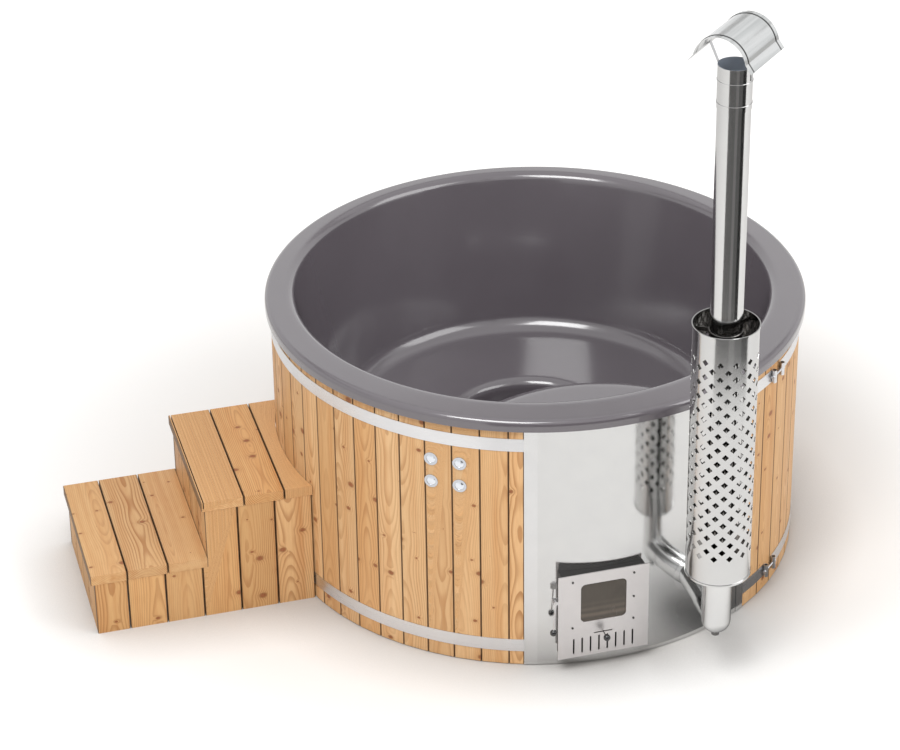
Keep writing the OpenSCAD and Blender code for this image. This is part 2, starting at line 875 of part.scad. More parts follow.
module fire_grate() {
    half_w = jacket_w / 2 - jacket_t - water_gap - firebox_t - grate_side;
    front = -jacket_front + jacket_t + water_gap + firebox_t + grate_front;
    back = -jacket_front + jacket_d - jacket_t - water_gap - firebox_t - grate_side;
    bars = floor(2 * half_w / grate_pitch);
    color(black) union() {
        for (y = [front + grate_bearers[0] - grate_front, back - grate_bearers[1]])
            box([jacket_x - half_w, y, fire_low],
                [jacket_x + half_w, y + grate_bearer_w, fire_low + grate_leg]);
        for (i = [0:bars])
            box([jacket_x - half_w + i * (2 * half_w - grate_bar) / bars, front,
                fire_low + grate_leg],
                [jacket_x - half_w + i * (2 * half_w - grate_bar) / bars + grate_bar, back,
                fire_low + grate_leg + grate_bar]);
    }
}

module housing_outline(set_in, back, front) {
    box([door_x - housing_w / 2 + set_in, front, door_z - housing_h / 2 + set_in],
        [door_x + housing_w / 2 - set_in, back, door_z + housing_h / 2 - set_in]);
}

module door_housing() {
    color(dark_steel) difference() {
        housing_outline(0, -jacket_front, housing_y);
        housing_outline(housing_t, -jacket_front + cut, housing_y - cut);
    }
}

module door_gasket() {
    color(black) difference() {
        housing_outline(0, housing_y, housing_y - gasket_t);
        housing_outline(housing_t, housing_y + cut, housing_y - gasket_t - cut);
    }
}

// Straps from the housing's side to the lower half of each hinge
module hinge_brackets() {
    side = door_x + housing_w / 2;
    color(steel) for (z = hinge_rows) difference() {
        union() {
            box([side, hinge_y + 1, z - knuckle_h],
                [side + 2, hinge_y + bracket_d, z - seat_gap]);
            box([side, hinge_y + 1, z - knuckle_h], [hinge_x, hinge_y + 4, z - seat_gap]);
            translate([hinge_x, hinge_y, z - knuckle_h])
                cylinder(r = knuckle_r, h = knuckle_h - seat_gap);
        }
        translate([hinge_x, hinge_y, z - knuckle_h - cut])
            cylinder(r = hinge_r + pin_gap, h = knuckle_h + 2 * cut);
    }
}

module hinge_pins() {
    color(steel) for (z = hinge_rows) {
        translate([hinge_x, hinge_y, z - knuckle_h - 2]) cylinder(r = knuckle_r, h = 2);
        translate([hinge_x, hinge_y, z - knuckle_h])
            cylinder(r = hinge_r, h = 2 * knuckle_h + 1);
    }
}

module latch_bracket() {
    side = door_x - housing_w / 2;
    tab_y = -door_face + 11;
    color(steel) union() {
        box([latch_x - 10, tab_y - 4, latch_z - 12], [side, tab_y, latch_z + 12]);
        box([side - 3, tab_y, latch_z - 12], [side, tab_y + 25, latch_z + 12]);
        to_front(latch_x, tab_y - 2, latch_z)
            cylinder(r = latch_pin_r + 2, h = tab_y - 2 - latch_y - seat_gap);
        to_front(latch_x, tab_y - 2, latch_z)
            cylinder(r = latch_pin_r, h = tab_y - 2 - latch_y + latch_hub_h + seat_gap);
    }
}

module latch_lever() {
    color(steel) difference() {
        union() {
            to_front(latch_x, latch_y, latch_z) cylinder(r = latch_hub_r, h = latch_hub_h);
            box([latch_x, latch_y - 5, latch_z - 4], [latch_x + latch_hub_r + 1.5, latch_y, latch_z + 4]);
            translate([latch_x, latch_y - latch_hub_h / 2, latch_z])
                rotate([0, latch_tilt, 0]) translate([0, 0, -latch_reach - 4])
                    cylinder(r = 3, h = latch_reach + 2);
        }
        to_front(latch_x, latch_y + cut, latch_z)
            cylinder(r = latch_pin_r + pin_gap, h = latch_hub_h + 2 * cut);
    }
}

module latch_knob() {
    color(black) translate([latch_x, latch_y - latch_hub_h / 2, latch_z])
        rotate([0, latch_tilt, 0]) difference() {
            translate([0, 0, -latch_reach]) sphere(r = ball_r);
            translate([0, 0, -latch_reach - 4]) cylinder(r = 3 + pin_gap, h = 2 * ball_r);
        }
}

// ---- Door ----

// A piece drawn flat in the door's plane, from y0 back towards the fire by t
module door_sheet(y0, t) {
    translate([door_x, y0 + t, door_z]) rotate([90, 0, 0]) linear_extrude(t) children();
}

module window_outline(grow) {
    r = window_round + grow;
    w = window_w / 2 + grow;
    h = window_h / 2 + grow;
    translate([0, window_up]) union() {
        square([2 * w, 2 * (h - r)], center = true);
        square([2 * (w - r), 2 * h], center = true);
        for (x = [-1, 1]) for (z = [-1, 1]) translate([x * (w - r), z * (h - r)]) circle(r = r);
    }
}

module air_slots() {
    for (i = [0:air_count - 1]) translate([(i - (air_count - 1) / 2) * air_pitch, -air_down]) {
        square([air_w, air_h - air_w], center = true);
        for (z = [-1, 1]) translate([0, z * (air_h - air_w) / 2]) circle(d = air_w);
    }
}

screw_places = [[-115, 146], [112, 146], [112, 46], [112, -47], [-115, -47]];

module door_plate() {
    color(steel) door_sheet(-door_face, door_t) difference() {
        square([door_w, door_h], center = true);
        window_outline(0);
        air_slots();
        translate([0, -knob_down]) square([knob_slot_w, knob_slot_h], center = true);
        for (p = screw_places) translate(p) circle(r = screw_shaft + pin_gap);
    }
}

module door_glass() {
    color(glass_tint) door_sheet(glass_y, glass_t) window_outline(glass_lap);
}

module glass_frame() {
    color(dark_steel) difference() {
        door_sheet(glass_y, glass_t + frame_plate) difference() {
            translate([0, (frame_up - frame_down) / 2])
                square([2 * frame_half, frame_up + frame_down], center = true);
            window_outline(0);
            for (p = screw_places) translate(p) circle(r = screw_shaft + pin_gap);
        }
        door_sheet(glass_y - cut, glass_t + cut) window_outline(glass_lap + 0.5);
    }
}

module door_screws() {
    color(dark_steel) for (p = screw_places) {
        to_front(door_x + p[0], glass_y + glass_t + frame_plate + screw_tail, door_z + p[1])
            cylinder(r = screw_shaft, h = door_t + glass_t + frame_plate + screw_tail);
        to_front(door_x + p[0], -door_face, door_z + p[1]) difference() {
            cylinder(r = screw_r, h = 2.5);
            translate([0, 0, 1.2]) cylinder(r = screw_r / 2, h = 2, $fn = 6);
        }
    }
}

// The upper half of each hinge, on the back of the plate
module door_knuckles() {
    color(steel) for (z = hinge_rows) difference() {
        union() {
            box([hinge_x - knuckle_r, door_back, z], [hinge_x + knuckle_r, hinge_y, z + knuckle_h]);
            translate([hinge_x, hinge_y, z]) cylinder(r = knuckle_r, h = knuckle_h);
        }
        translate([hinge_x, hinge_y, z - cut])
            cylinder(r = hinge_r + pin_gap, h = knuckle_h + 2 * cut);
    }
}

// Two rails behind the plate that hold the air slider
module slider_rails() {
    half = housing_w / 2 - housing_t - 6;
    color(dark_steel) for (side = [-1, 1]) {
        z0 = side < 0 ? slider_low - slide_gap - rail_w : slider_high + slide_gap;
        lip = slider_t + 2 * slide_gap;
        union() {
            box([door_x - half, door_back, z0], [door_x + half, door_back + lip, z0 + rail_w]);
            box([door_x - half, door_back + lip, side < 0 ? z0 : z0 - 2],
                [door_x + half, door_back + lip + 1.5, side < 0 ? z0 + rail_w + 2 : z0 + rail_w]);
        }
    }
}

module air_slider() {
    color(dark_steel) union() {
        difference() {
            box([door_x - slider_half, slider_y, slider_low],
                [door_x + slider_half, slider_y + slider_t, slider_high]);
            door_sheet(slider_y - cut, slider_t + 2 * cut) air_slots();
        }
        to_front(door_x, slider_y, door_z - knob_down)
            cylinder(r = stem_r, h = slider_y + door_face + knob_out - knob_bury);
    }
}

module air_knob() {
    color(black) difference() {
        translate([door_x, -door_face - knob_out, door_z - knob_down]) sphere(r = ball_r);
        to_front(door_x, -door_face, door_z - knob_down)
            cylinder(r = stem_r + pin_gap, h = knob_out - knob_bury);
    }
}

// ---- Chimney ----

module flue_outlet() {
    color(steel) to_front(flue_x, -jacket_front, flue_z)
        tube(outlet_r, outlet_r - flue_t, flue_y - tee_r - 2 - jacket_front);
}

module flue_rosette() {
    color(steel) intersection() {
        to_front(flue_x, -jacket_front, flue_z) tube(rosette_r, outlet_r + seat_gap, 2 * tub_r);
        translate([0, 0, flue_z - rosette_r - cut])
            tube(tub_r + 1.5, tub_r, 2 * rosette_r + 2 * cut, $fn = round_fn);
    }
}

// The tee's outline from its rounded bottom up to its neck, set in by d
module tee_form(d) {
    rotate_extrude() polygon(concat([[0, tee_bend - tee_r + d]],
        arc([0, tee_bend], tee_r - d, -90, 0, 16), [[tee_r - d, tee_top + pipe_lap + d],
        [0, tee_top + pipe_lap + d]]));
}

module flue_tee() {
    branch = tee_r + tee_branch;
    color(steel) difference() {
        union() {
            translate([flue_x, -flue_y, 0]) tee_form(0);
            translate([flue_x, -flue_y, tee_top]) cylinder(r = flue_in - socket_gap, h = pipe_lap);
            translate([flue_x, -flue_y, tee_top - socket_floor])
                cylinder(r = flue_r, h = socket_floor);
            to_front(flue_x, branch - flue_y, flue_z) cylinder(r = tee_r, h = branch);
        }
        translate([flue_x, -flue_y, 0]) tee_form(flue_t);
        to_front(flue_x, branch - flue_y + cut, flue_z)
            cylinder(r = tee_r - flue_t, h = branch + cut);
    }
}

// A small plug in the middle of the tee's rounded bottom
module tee_plug() {
    color(black) translate([flue_x, -flue_y, tee_bend - tee_r - plug_r]) difference() {
        cylinder(r = plug_r, h = plug_h);
        translate([0, 0, plug_r + tee_r]) sphere(r = tee_r);
    }
}

module flue_pipe_lower() {
    top = lower_pipe_z + pipe_l;
    color(steel) union() {
        translate([flue_x, -flue_y, lower_pipe_z]) tube(flue_r, flue_in, pipe_l - pipe_lap);
        translate([flue_x, -flue_y, top - pipe_lap]) tube(socket_r, socket_in, pipe_lap);
        translate([flue_x, -flue_y, top - pipe_lap - socket_floor])
            tube(socket_r, flue_in, socket_floor);
    }
}

module flue_pipe_upper() {
    color(steel) translate([flue_x, -flue_y, upper_pipe_z]) tube(flue_r, flue_in, pipe_l);
}

module cap_collar() {
    color(steel) translate([flue_x, -flue_y, collar_z]) union() {
        tube(socket_r, socket_in, collar_l);
        for (z = collar_beads) translate([0, 0, z])
            tube(socket_r + bead_out, socket_in, collar_bead_w);
    }
}

// One square hole through the guard's wall, standing on its corner
module guard_hole(angle, z) {
    rotate([0, 0, angle]) translate([guard_r - 10, 0, z]) rotate([45, 0, 0])
        translate([0, -hole_side / 2, -hole_side / 2]) cube([20, hole_side, hole_side]);
}

module heat_guard() {
    mid = (hole_rows - 1) / 2;
    step = 360 / hole_count;
    color(steel) translate([flue_x, -flue_y, guard_z]) difference() {
        union() {
            tube(guard_r, guard_r - guard_t, guard_h);
            for (z = [0, guard_h - guard_rim]) translate([0, 0, z])
                tube(guard_r + guard_rim_out, guard_r - guard_t, guard_rim);
        }
        for (row = [0:hole_rows - 1]) for (i = [0:hole_count - 1])
            guard_hole(hole_turn + (i + (row % 2) / 2) * step,
                hole_mid + (row - mid) * hole_row);
    }
}

// Clamps around the pipe with three spokes out to the guard
module guard_brackets() {
    color(steel) for (z = clamp_rows)
        translate([flue_x, -flue_y, guard_z + z]) linear_extrude(clamp_h) difference() {
            union() {
                circle(r = flue_r + clamp_t);
                for (a = clamp_spokes) rotate(a) translate([flue_r + clamp_t / 2, -clamp_t / 2])
                    square([guard_r - guard_t - flue_r - clamp_t / 2, clamp_t]);
            }
            circle(r = flue_r);
        }
}

// ---- Rain cowl ----

// A piece drawn across the cowl, carried along the cowl's length
module along_cowl(from, to) {
    translate([flue_x, -flue_y, cowl_axis]) rotate([0, 0, cowl_turn]) translate([from, 0, 0])
        rotate([90, 0, 90]) linear_extrude(to - from) children();
}

module arch(outer, inner) {
    far = 2 * outer;
    intersection() {
        difference() {
            circle(r = outer);
            circle(r = inner);
        }
        polygon([[0, 0], [far * sin(cowl_angle), far * cos(cowl_angle)], [far, far],
            [-far, far], [-far * sin(cowl_angle), far * cos(cowl_angle)]]);
    }
}

module eaves() {
    middle = cowl_r - cowl_t / 2;
    for (side = [-1, 1]) translate([side * middle * sin(cowl_angle), middle * cos(cowl_angle)])
        rotate(side > 0 ? -eave_slope : eave_slope - 180)
            translate([-cowl_t, side > 0 ? 0 : -cowl_t]) square([eave_w, cowl_t]);
}

module rain_cowl() {
    half = cowl_l / 2;
    color(steel) union() {
        along_cowl(-half, half) union() {
            arch(cowl_r, cowl_r - cowl_t);
            eaves();
        }
        for (x = [cowl_bead_in - half, half - cowl_bead_in - cowl_bead_w])
            along_cowl(x, x + cowl_bead_w) arch(cowl_r + bead_out, cowl_r - cowl_t / 2);
    }
}

// Straps that rise from the collar's sides and lean out to the feet of the cowl's arch
module cowl_struts() {
    low = flue_top - strut_low - cowl_axis;
    bend = flue_top - strut_bend - cowl_axis;
    foot = cowl_foot - cowl_axis;
    reach = (cowl_r - cowl_t) * sin(cowl_angle);
    color(steel) for (side = [-1, 1]) intersection() {
        along_cowl(-strut_half, strut_half) polygon([
            [side * socket_r, low], [side * (socket_r + strut_t), low],
            [side * (socket_r + strut_t), bend], [side * (reach + cut), foot],
            [side * (reach + cut), foot + strut_tab], [side * (reach - strut_t), foot + strut_tab],
            [side * (reach - strut_t), foot + strut_t],
            [side * socket_r, bend + strut_t / 2]]);
        along_cowl(-strut_half - cut, strut_half + cut) union() {
            circle(r = cowl_r - cowl_t);
            translate([-cowl_r, -2 * cowl_r]) square([2 * cowl_r, 2 * cowl_r]);
        }
    }
}

// ---- Buttons ----

module button_bezels() {
    color(steel) for (i = [0:3]) button_place(i) union() {
        tube(bezel_r, button_r + seat_gap, bezel_t);
        translate([0, 0, -barrel_h]) tube(barrel_r, button_r + seat_gap, barrel_h + bezel_t / 3);
        translate([0, 0, -barrel_h - barrel_floor])
            cylinder(r = barrel_r, h = barrel_floor + 0.5);
    }
}

module push_button(i) {
    color(steel) button_place(i) intersection() {
        translate([0, 0, button_travel + barrel_floor - barrel_h])
            cylinder(r = button_r, h = barrel_h + 2 * barrel_floor);
        translate([0, 0, button_dome_up - button_dome_r]) sphere(r = button_dome_r);
    }
}

module push_button_1() { push_button(0); }
module push_button_2() { push_button(1); }
module push_button_3() { push_button(2); }
module push_button_4() { push_button(3); }

// ---- Water ----

module water_pipes() {
    color(steel) for (i = [0, 1])
        translate([water_x, jacket_back - jacket_t, water_z[i]]) rotate([-90, 0, 0])
            tube(water_r, water_r - water_wall, water_end[i] - jacket_back + jacket_t);
}

// A perforated cap for a pipe of radius r, with its back on the plane z = strainer_t
module strainer(r) {
    difference() {
        cylinder(r = r + strainer_lip, h = strainer_t);
        for (a = [0:60:300]) rotate([0, 0, a]) translate([r / 2, 0, -cut])
            cylinder(r = r / 7, h = strainer_t + 2 * cut);
    }
}

module water_strainers() {
    color(steel) for (i = [0, 1])
        translate([water_x, water_end[i], water_z[i]]) rotate([-90, 0, 0]) strainer(water_r);
}

module drain_strainer() {
    color(steel) drain_place(drain_in - strainer_t) strainer(drain_r);
}

module drain_pipe() {
    color(black) drain_place(drain_in) tube(drain_r, drain_r - drain_wall, tub_r + drain_reach - drain_in);
}

module drain_cap() {
    color(black) drain_place(tub_r + drain_reach - cap_deep) difference() {
        cylinder(r = drain_r + cap_wall, h = cap_deep + cap_end);
        translate([0, 0, -cut]) cylinder(r = drain_r + pin_gap, h = cap_deep + cut);
    }
}

// ---- Steps ----

// Places of the screws: head down in the battens' undersides, reaching up into the boards
module screw_spots(places, top) {
    for (x = places) for (y = [inner_front + wall_inset + batten / 2,
                                inner_back - wall_inset - batten / 2])
        translate([x, y, top - tread_t - batten]) children();
}

module screw_form() {
    cylinder(r = tread_screw_head, h = tread_screw_head_h);
    cylinder(r = tread_screw_r, h = batten + tread_screw_bite);
}

module screw_hole() {
    translate([0, 0, -cut])
        cylinder(r = tread_screw_head + pin_gap, h = tread_screw_head_h + pin_gap + cut);
    cylinder(r = tread_screw_r + pin_gap, h = batten + tread_screw_bite + pin_gap);
}

module tread_board(x0, x1, top) {
    box([x0, step_front, top - tread_t], [x1, step_back, top]);
}

lower_boards = [[lower_left, lower_left + nose_board],
    for (i = [0:1]) [lower_left + nose_board + tread_gap + i * tread_pitch,
                     lower_left + nose_board + (i + 1) * tread_pitch]];
upper_boards = [for (i = [0:1]) [upper_left + (i > 0 ? nosing_w + tread_gap + tread_pitch : 0),
                                 upper_left + nosing_w + (i + 1) * tread_pitch]];
last_board = upper_left + nosing_w + tread_gap + 2 * tread_pitch;

lower_spots = [for (b = lower_boards) for (d = tread_screw_in) b[1] - d];
upper_spots = concat([for (b = upper_boards) for (d = tread_screw_in) b[1] - d],
                     [last_board + tread_screw_in[0]]);

module step_tread_lower() {
    color(pine) difference() {
        for (b = lower_boards) tread_board(b[0], b[1], step_low);
        screw_spots(lower_spots, step_low) screw_hole();
    }
}

module step_tread_upper() {
    color(pine) difference() {
        union() {
            for (b = upper_boards) tread_board(b[0], b[1], step_high);
            difference() {
                tread_board(last_board, -tub_r / 2, step_high);
                translate([0, 0, leg_high - cut])
                    cylinder(r = tub_r + step_gap, h = tread_t + 2 * cut, $fn = round_fn);
            }
        }
        box([upper_left + nosing_w, step_front - cut, step_high - groove_d],
            [upper_left + nosing_w + tread_gap, step_back + cut, step_high + cut]);
        screw_spots(upper_spots, step_high) screw_hole();
    }
}

module side_wall(y) {
    first = nose_x;
    second = lower_join - tread_gap - 2 * side_pitch + tread_gap;
    box([first, y, 0], [second - tread_gap, y + side_t, leg_low]);
    for (i = [0:1]) box([second + i * side_pitch, y, 0],
        [second + i * side_pitch + side_board, y + side_t, leg_low]);
    difference() {
        box([lower_join, y, 0], [lower_join + side_board, y + side_t, leg_high]);
        box([lower_join - cut, y - cut, leg_low], [riser_x, y + side_t + cut, leg_high + cut]);
    }
    for (i = [1:2]) box([lower_join + i * side_pitch, y, 0],
        [lower_join + i * side_pitch + side_board, y + side_t, leg_high]);
}

module step_side_boards() {
    color(pine) difference() {
        union() {
            side_wall(step_front + wall_inset);
            side_wall(step_back - side_t - wall_inset);
        }
        translate([0, 0, -cut])
            cylinder(r = tub_r + hoop_t + step_gap, h = leg_high + 2 * cut, $fn = round_fn);
    }
}

module step_risers() {
    from = inner_front + wall_inset;
    to = inner_back - wall_inset;
    pitch = (to - from) / riser_boards;
    color(pine) for (i = [0:riser_boards - 1]) {
        box([nose_x, from + i * pitch + riser_gap, 0],
            [nose_x + riser_t, from + (i + 1) * pitch - riser_gap, leg_low]);
        box([riser_x, from + i * pitch + riser_gap, step_low - tread_t],
            [riser_x + riser_t, from + (i + 1) * pitch - riser_gap, leg_high]);
    }
}

module step_frame() {
    front = inner_front + wall_inset;
    back = inner_back - wall_inset - batten;
    left = nose_x + riser_t;
    mid = riser_x + riser_t;
    right = side_end - 30 - batten;
    color(raw_wood) difference() {
        for (y = [front, back]) {
            box([left, y, 0], [left + batten, y + batten, leg_low - batten]);
            box([left, y, leg_low - batten], [mid, y + batten, leg_low]);
            box([mid, y, 0], [mid + batten, y + batten, leg_high - batten]);
            box([right, y, 0], [right + batten, y + batten, leg_high - batten]);
            box([mid, y, leg_high - batten], [right + batten, y + batten, leg_high]);
        }
        screw_spots(lower_spots, step_low) screw_hole();
        screw_spots(upper_spots, step_high) screw_hole();
    }
}

module step_screws() {
    color(steel) {
        screw_spots(lower_spots, step_low) screw_form();
        screw_spots(upper_spots, step_high) screw_form();
    }
}

base_bearers();
base_board();
shell_supports();
frame_posts();
stave_rings();
panel_posts();
tub_shell();
insulation();
cladding_staves();
hoop_upper();
hoop_lower();
hoop_lugs();
hoop_bolts();
hoop_nuts();
steel_panel();
panel_trims();
stove_body();
fire_grate();
door_housing();
door_gasket();
hinge_brackets();
hinge_pins();
latch_bracket();
latch_lever();
latch_knob();
door_plate();
door_glass();
glass_frame();
door_screws();
door_knuckles();
slider_rails();
air_slider();
air_knob();
flue_outlet();
flue_rosette();
flue_tee();
tee_plug();
flue_pipe_lower();
flue_pipe_upper();
cap_collar();
heat_guard();
guard_brackets();
cowl_struts();
rain_cowl();
button_bezels();
push_button_1();
push_button_2();
push_button_3();
push_button_4();
water_pipes();
water_strainers();
drain_strainer();
drain_pipe();
drain_cap();
step_tread_lower();
step_tread_upper();
step_side_boards();
step_risers();
step_frame();
step_screws();
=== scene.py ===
import math

import bmesh
import bpy
import numpy as np
from mathutils import Matrix, Vector


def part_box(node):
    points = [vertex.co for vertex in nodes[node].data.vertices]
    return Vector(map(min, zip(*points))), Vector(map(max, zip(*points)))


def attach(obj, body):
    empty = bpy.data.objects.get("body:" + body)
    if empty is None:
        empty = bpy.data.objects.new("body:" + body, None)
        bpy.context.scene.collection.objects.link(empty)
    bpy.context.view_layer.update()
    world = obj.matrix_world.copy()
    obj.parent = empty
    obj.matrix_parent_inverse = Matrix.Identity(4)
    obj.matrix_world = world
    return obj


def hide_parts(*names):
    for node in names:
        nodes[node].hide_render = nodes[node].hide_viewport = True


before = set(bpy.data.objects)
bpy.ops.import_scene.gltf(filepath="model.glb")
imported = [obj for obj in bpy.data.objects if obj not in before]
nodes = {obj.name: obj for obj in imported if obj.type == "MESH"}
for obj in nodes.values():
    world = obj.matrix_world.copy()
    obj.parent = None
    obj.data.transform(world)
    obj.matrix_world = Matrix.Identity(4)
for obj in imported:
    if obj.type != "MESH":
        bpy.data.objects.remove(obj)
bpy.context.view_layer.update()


# ---- The studio ----
# A pale seamless floor under soft, even light. The camera stands in front of the stove door, a
# little to its left, and looks down on the rim. Screens that no camera sees stand around the tub:
# the polished pipes mirror the dark ones as stripes, and the rim mirrors the bright one behind.
scene = bpy.context.scene
scene.view_settings.view_transform = "Standard"
camera_data = bpy.data.cameras.new("camera")
camera_data.lens = 115.84
camera_data.sensor_width = 36
camera_data.shift_x = -0.0904
camera_data.shift_y = -0.1365
camera = bpy.data.objects.new("camera", camera_data)
camera.location = (-2.7547, -9.0704, 6.1215)
camera.rotation_euler = (math.radians(62.33), 0, math.radians(-16.81))
scene.collection.objects.link(camera)
scene.camera = camera


def put(tree, kind, sockets=None, **settings):
    # One node: a socket is linked where its value is another node's socket, and set otherwise
    node = tree.nodes.new(kind)
    for key, value in settings.items():
        setattr(node, key, value)
    for key, value in (sockets or {}).items():
        if isinstance(value, bpy.types.NodeSocket):
            tree.links.new(value, node.inputs[key])
        else:
            node.inputs[key].default_value = value
    return node


def value(tree, operation, a, b=0.0, c=0.0, clamp=False):
    sockets = {0: a, 1: b}
    if operation == "MULTIPLY_ADD":
        sockets[2] = c
    return put(tree, "ShaderNodeMath", sockets, operation=operation, use_clamp=clamp).outputs[0]


def vector(tree, operation, a, b=(0, 0, 0)):
    out = put(tree, "ShaderNodeVectorMath", {0: a, 1: b}, operation=operation)
    return out.outputs["Value" if operation in ("LENGTH", "DOT_PRODUCT") else "Vector"]


def point(tree, x=0, y=0, z=0):
    return put(tree, "ShaderNodeCombineXYZ", {0: x, 1: y, 2: z}).outputs[0]


def axis_of(tree, at, axis):
    return put(tree, "ShaderNodeSeparateXYZ", {0: at}).outputs[axis]


def spread(tree, low, high, at, to_low=0.0, to_high=1.0, smooth=False):
    # Low becomes to_low and high becomes to_high, and nothing goes past them
    kind = "SMOOTHSTEP" if smooth else "LINEAR"
    return put(tree, "ShaderNodeMapRange", {"Value": at, "From Min": low, "From Max": high,
                                            "To Min": to_low, "To Max": to_high},
               interpolation_type=kind).outputs[0]


def blended(tree, factor, first, second, kind="MIX"):
    mix = put(tree, "ShaderNodeMix", {0: factor, 6: first, 7: second}, data_type="RGBA",
              blend_type=kind)
    return mix.outputs[2]


def object_point(tree):
    return put(tree, "ShaderNodeTexCoord").outputs["Object"]


def new_surface(name, **sockets):
    surface = bpy.data.materials.new(name)
    surface.use_nodes = True
    tree = surface.node_tree
    tree.nodes.clear()
    shader = put(tree, "ShaderNodeBsdfPrincipled", sockets)
    put(tree, "ShaderNodeOutputMaterial", {"Surface": shader.outputs[0]})
    return surface, tree, shader


def feed(shader, socket, what):
    shader.id_data.links.new(what, shader.inputs[socket])


def link_mesh(name, mesh):
    thing = bpy.data.objects.new(name, mesh)
    scene.collection.objects.link(thing)
    return thing


def faced(name, corners, faces, surface):
    mesh = bpy.data.meshes.new(name)
    mesh.from_pydata(corners, [], faces)
    mesh.materials.append(surface)
    return link_mesh(name, mesh)


floor_half = 40
floor_tone, painted_shadow_tone = (0.88, 0.875, 0.865, 1), (0.46, 0.44, 0.42, 1)
shadow_reach, shadow_clear = 0.30, 0.35
glow_from, glow_to, glow_strength = 1.15, 3.4, 0.46
floor_surface, tree, shader = new_surface("studio_floor", **{
    "Roughness": 0.75, "Specular IOR Level": 0.25, "Emission Color": (1, 1, 1, 1)})
# Painted shadow: the floor's colour darkens where ambient occlusion finds parts close above it,
# around the tub and the steps
open_sky = put(tree, "ShaderNodeAmbientOcclusion", {"Distance": shadow_reach}, samples=8)
feed(shader, "Base Color", blended(
    tree, spread(tree, shadow_clear, 1.0, open_sky.outputs["AO"]), painted_shadow_tone, floor_tone))
away = vector(tree, "LENGTH", object_point(tree))
seen = put(tree, "ShaderNodeLightPath")
feed(shader, "Emission Strength", value(
    tree, "MULTIPLY", spread(tree, glow_from, glow_to, away, 0.0, glow_strength, smooth=True),
    seen.outputs["Is Camera Ray"]))
studio_floor = faced("studio_floor", [
    (-floor_half, -floor_half, 0), (floor_half, -floor_half, 0),
    (floor_half, floor_half, 0), (-floor_half, floor_half, 0)], [(0, 1, 2, 3)], floor_surface)


def arc(middle, first, last, steps, *edges):
    # A band from one bearing to another: each of its two edges has a reach and a height
    corners = []
    for i in range(steps + 1):
        angle = math.radians(first + (last - first) * i / steps)
        corners += [(middle.x + reach * math.cos(angle), middle.y + reach * math.sin(angle), up)
                    for reach, up in edges]
    return corners, [(2 * i, 2 * i + 1, 2 * i + 3, 2 * i + 2) for i in range(steps)]


def mirrored_only(thing):
    thing.visible_camera = False
    thing.visible_diffuse = False
    thing.visible_shadow = False


# Screens: rows of (distance from the chimney, first bearing, last bearing, low, high, grey, glow)
chimney = Vector((0.300, -1.200, 0))
screen_steps = 24
for number, (distance, first, last, low, high, grey, glow) in enumerate((
        (2.3, -145, -100, 0.0, 1.85, 0.17, 0), (2.3, -100, -82, 0.0, 1.85, 0.26, 0),
        (2.3, -82, -57, 0.0, 1.85, 0.14, 0), (2.3, -57, -32, 0.0, 1.85, 0.03, 0),
        (4.6, 20, 170, 1.20, 3.50, 0.0, 1.0), (4.6, 20, 170, 3.50, 4.60, 0.45, 0))):
    name = "studio_screen_%d" % number
    screen_surface, tree, shader = new_surface(name, **{
        "Base Color": (grey, grey, grey, 1), "Roughness": 1.0, "Specular IOR Level": 0.0,
        "Emission Color": (1, 1, 1, 1), "Emission Strength": glow})
    screen = faced(name, *arc(chimney, first, last, screen_steps, (distance, high),
                              (distance, low)), screen_surface)
    mirrored_only(screen)

# A soft dark patch on the floor by the panel that only mirrors show: a painted shadow of the tub,
# seen in the panel, which fades outward and towards the steps
patch_near, patch_far, patch_height, patch_steps = 1.0, 1.9, 0.004, 48
patch_gone = 1.8
patch_surface, tree, shader = new_surface("painted_shadow_patch", **{
    "Base Color": (0.10, 0.10, 0.10, 1), "Roughness": 1.0, "Specular IOR Level": 0.0})
at = object_point(tree)
feed(shader, "Alpha", value(
    tree, "MULTIPLY",
    spread(tree, patch_near, patch_gone, vector(tree, "LENGTH", at), 1.0, 0.0, smooth=True),
    spread(tree, 0.02, 0.45, axis_of(tree, at, 0), 0.08, 0.9, smooth=True)))
patch = faced("painted_shadow_patch", *arc(Vector((0, 0, 0)), -125, -40, patch_steps,
                                   (patch_near, patch_height), (patch_far, patch_height)),
              patch_surface)
mirrored_only(patch)

world = bpy.data.worlds.new("studio")
scene.world = world
world.use_nodes = True
tree = world.node_tree
tree.nodes.clear()
seen = put(tree, "ShaderNodeLightPath")
camera_or_gloss = value(tree, "MAXIMUM", seen.outputs["Is Camera Ray"],
                        seen.outputs["Is Glossy Ray"])
plain = put(tree, "ShaderNodeBackground", {"Color": (1.0, 0.99, 0.98, 1), "Strength": 0.62})
white = put(tree, "ShaderNodeBackground", {"Color": (1, 1, 1, 1), "Strength": 1.0})
both = put(tree, "ShaderNodeMixShader", {0: camera_or_gloss, 1: plain.outputs[0],
                                         2: white.outputs[0]})
put(tree, "ShaderNodeOutputWorld", {"Surface": both.outputs[0]})


def soft_light(name, place, aim, size, power):
    data = bpy.data.lights.new(name, "AREA")
    data.size = size
    data.energy = power
    lamp = bpy.data.objects.new(name, data)
    lamp.location = place
    lamp.rotation_euler = (Vector(aim) - Vector(place)).to_track_quat("-Z", "Y").to_euler()
    scene.collection.objects.link(lamp)


soft_light("key_light", place=(-3.0, -3.8, 8.0), aim=(0, 0, 0.4), size=4.0, power=430)
soft_light("fill_light", place=(5.0, -4.0, 5.0), aim=(0, 0, 0.5), size=5.0, power=200)


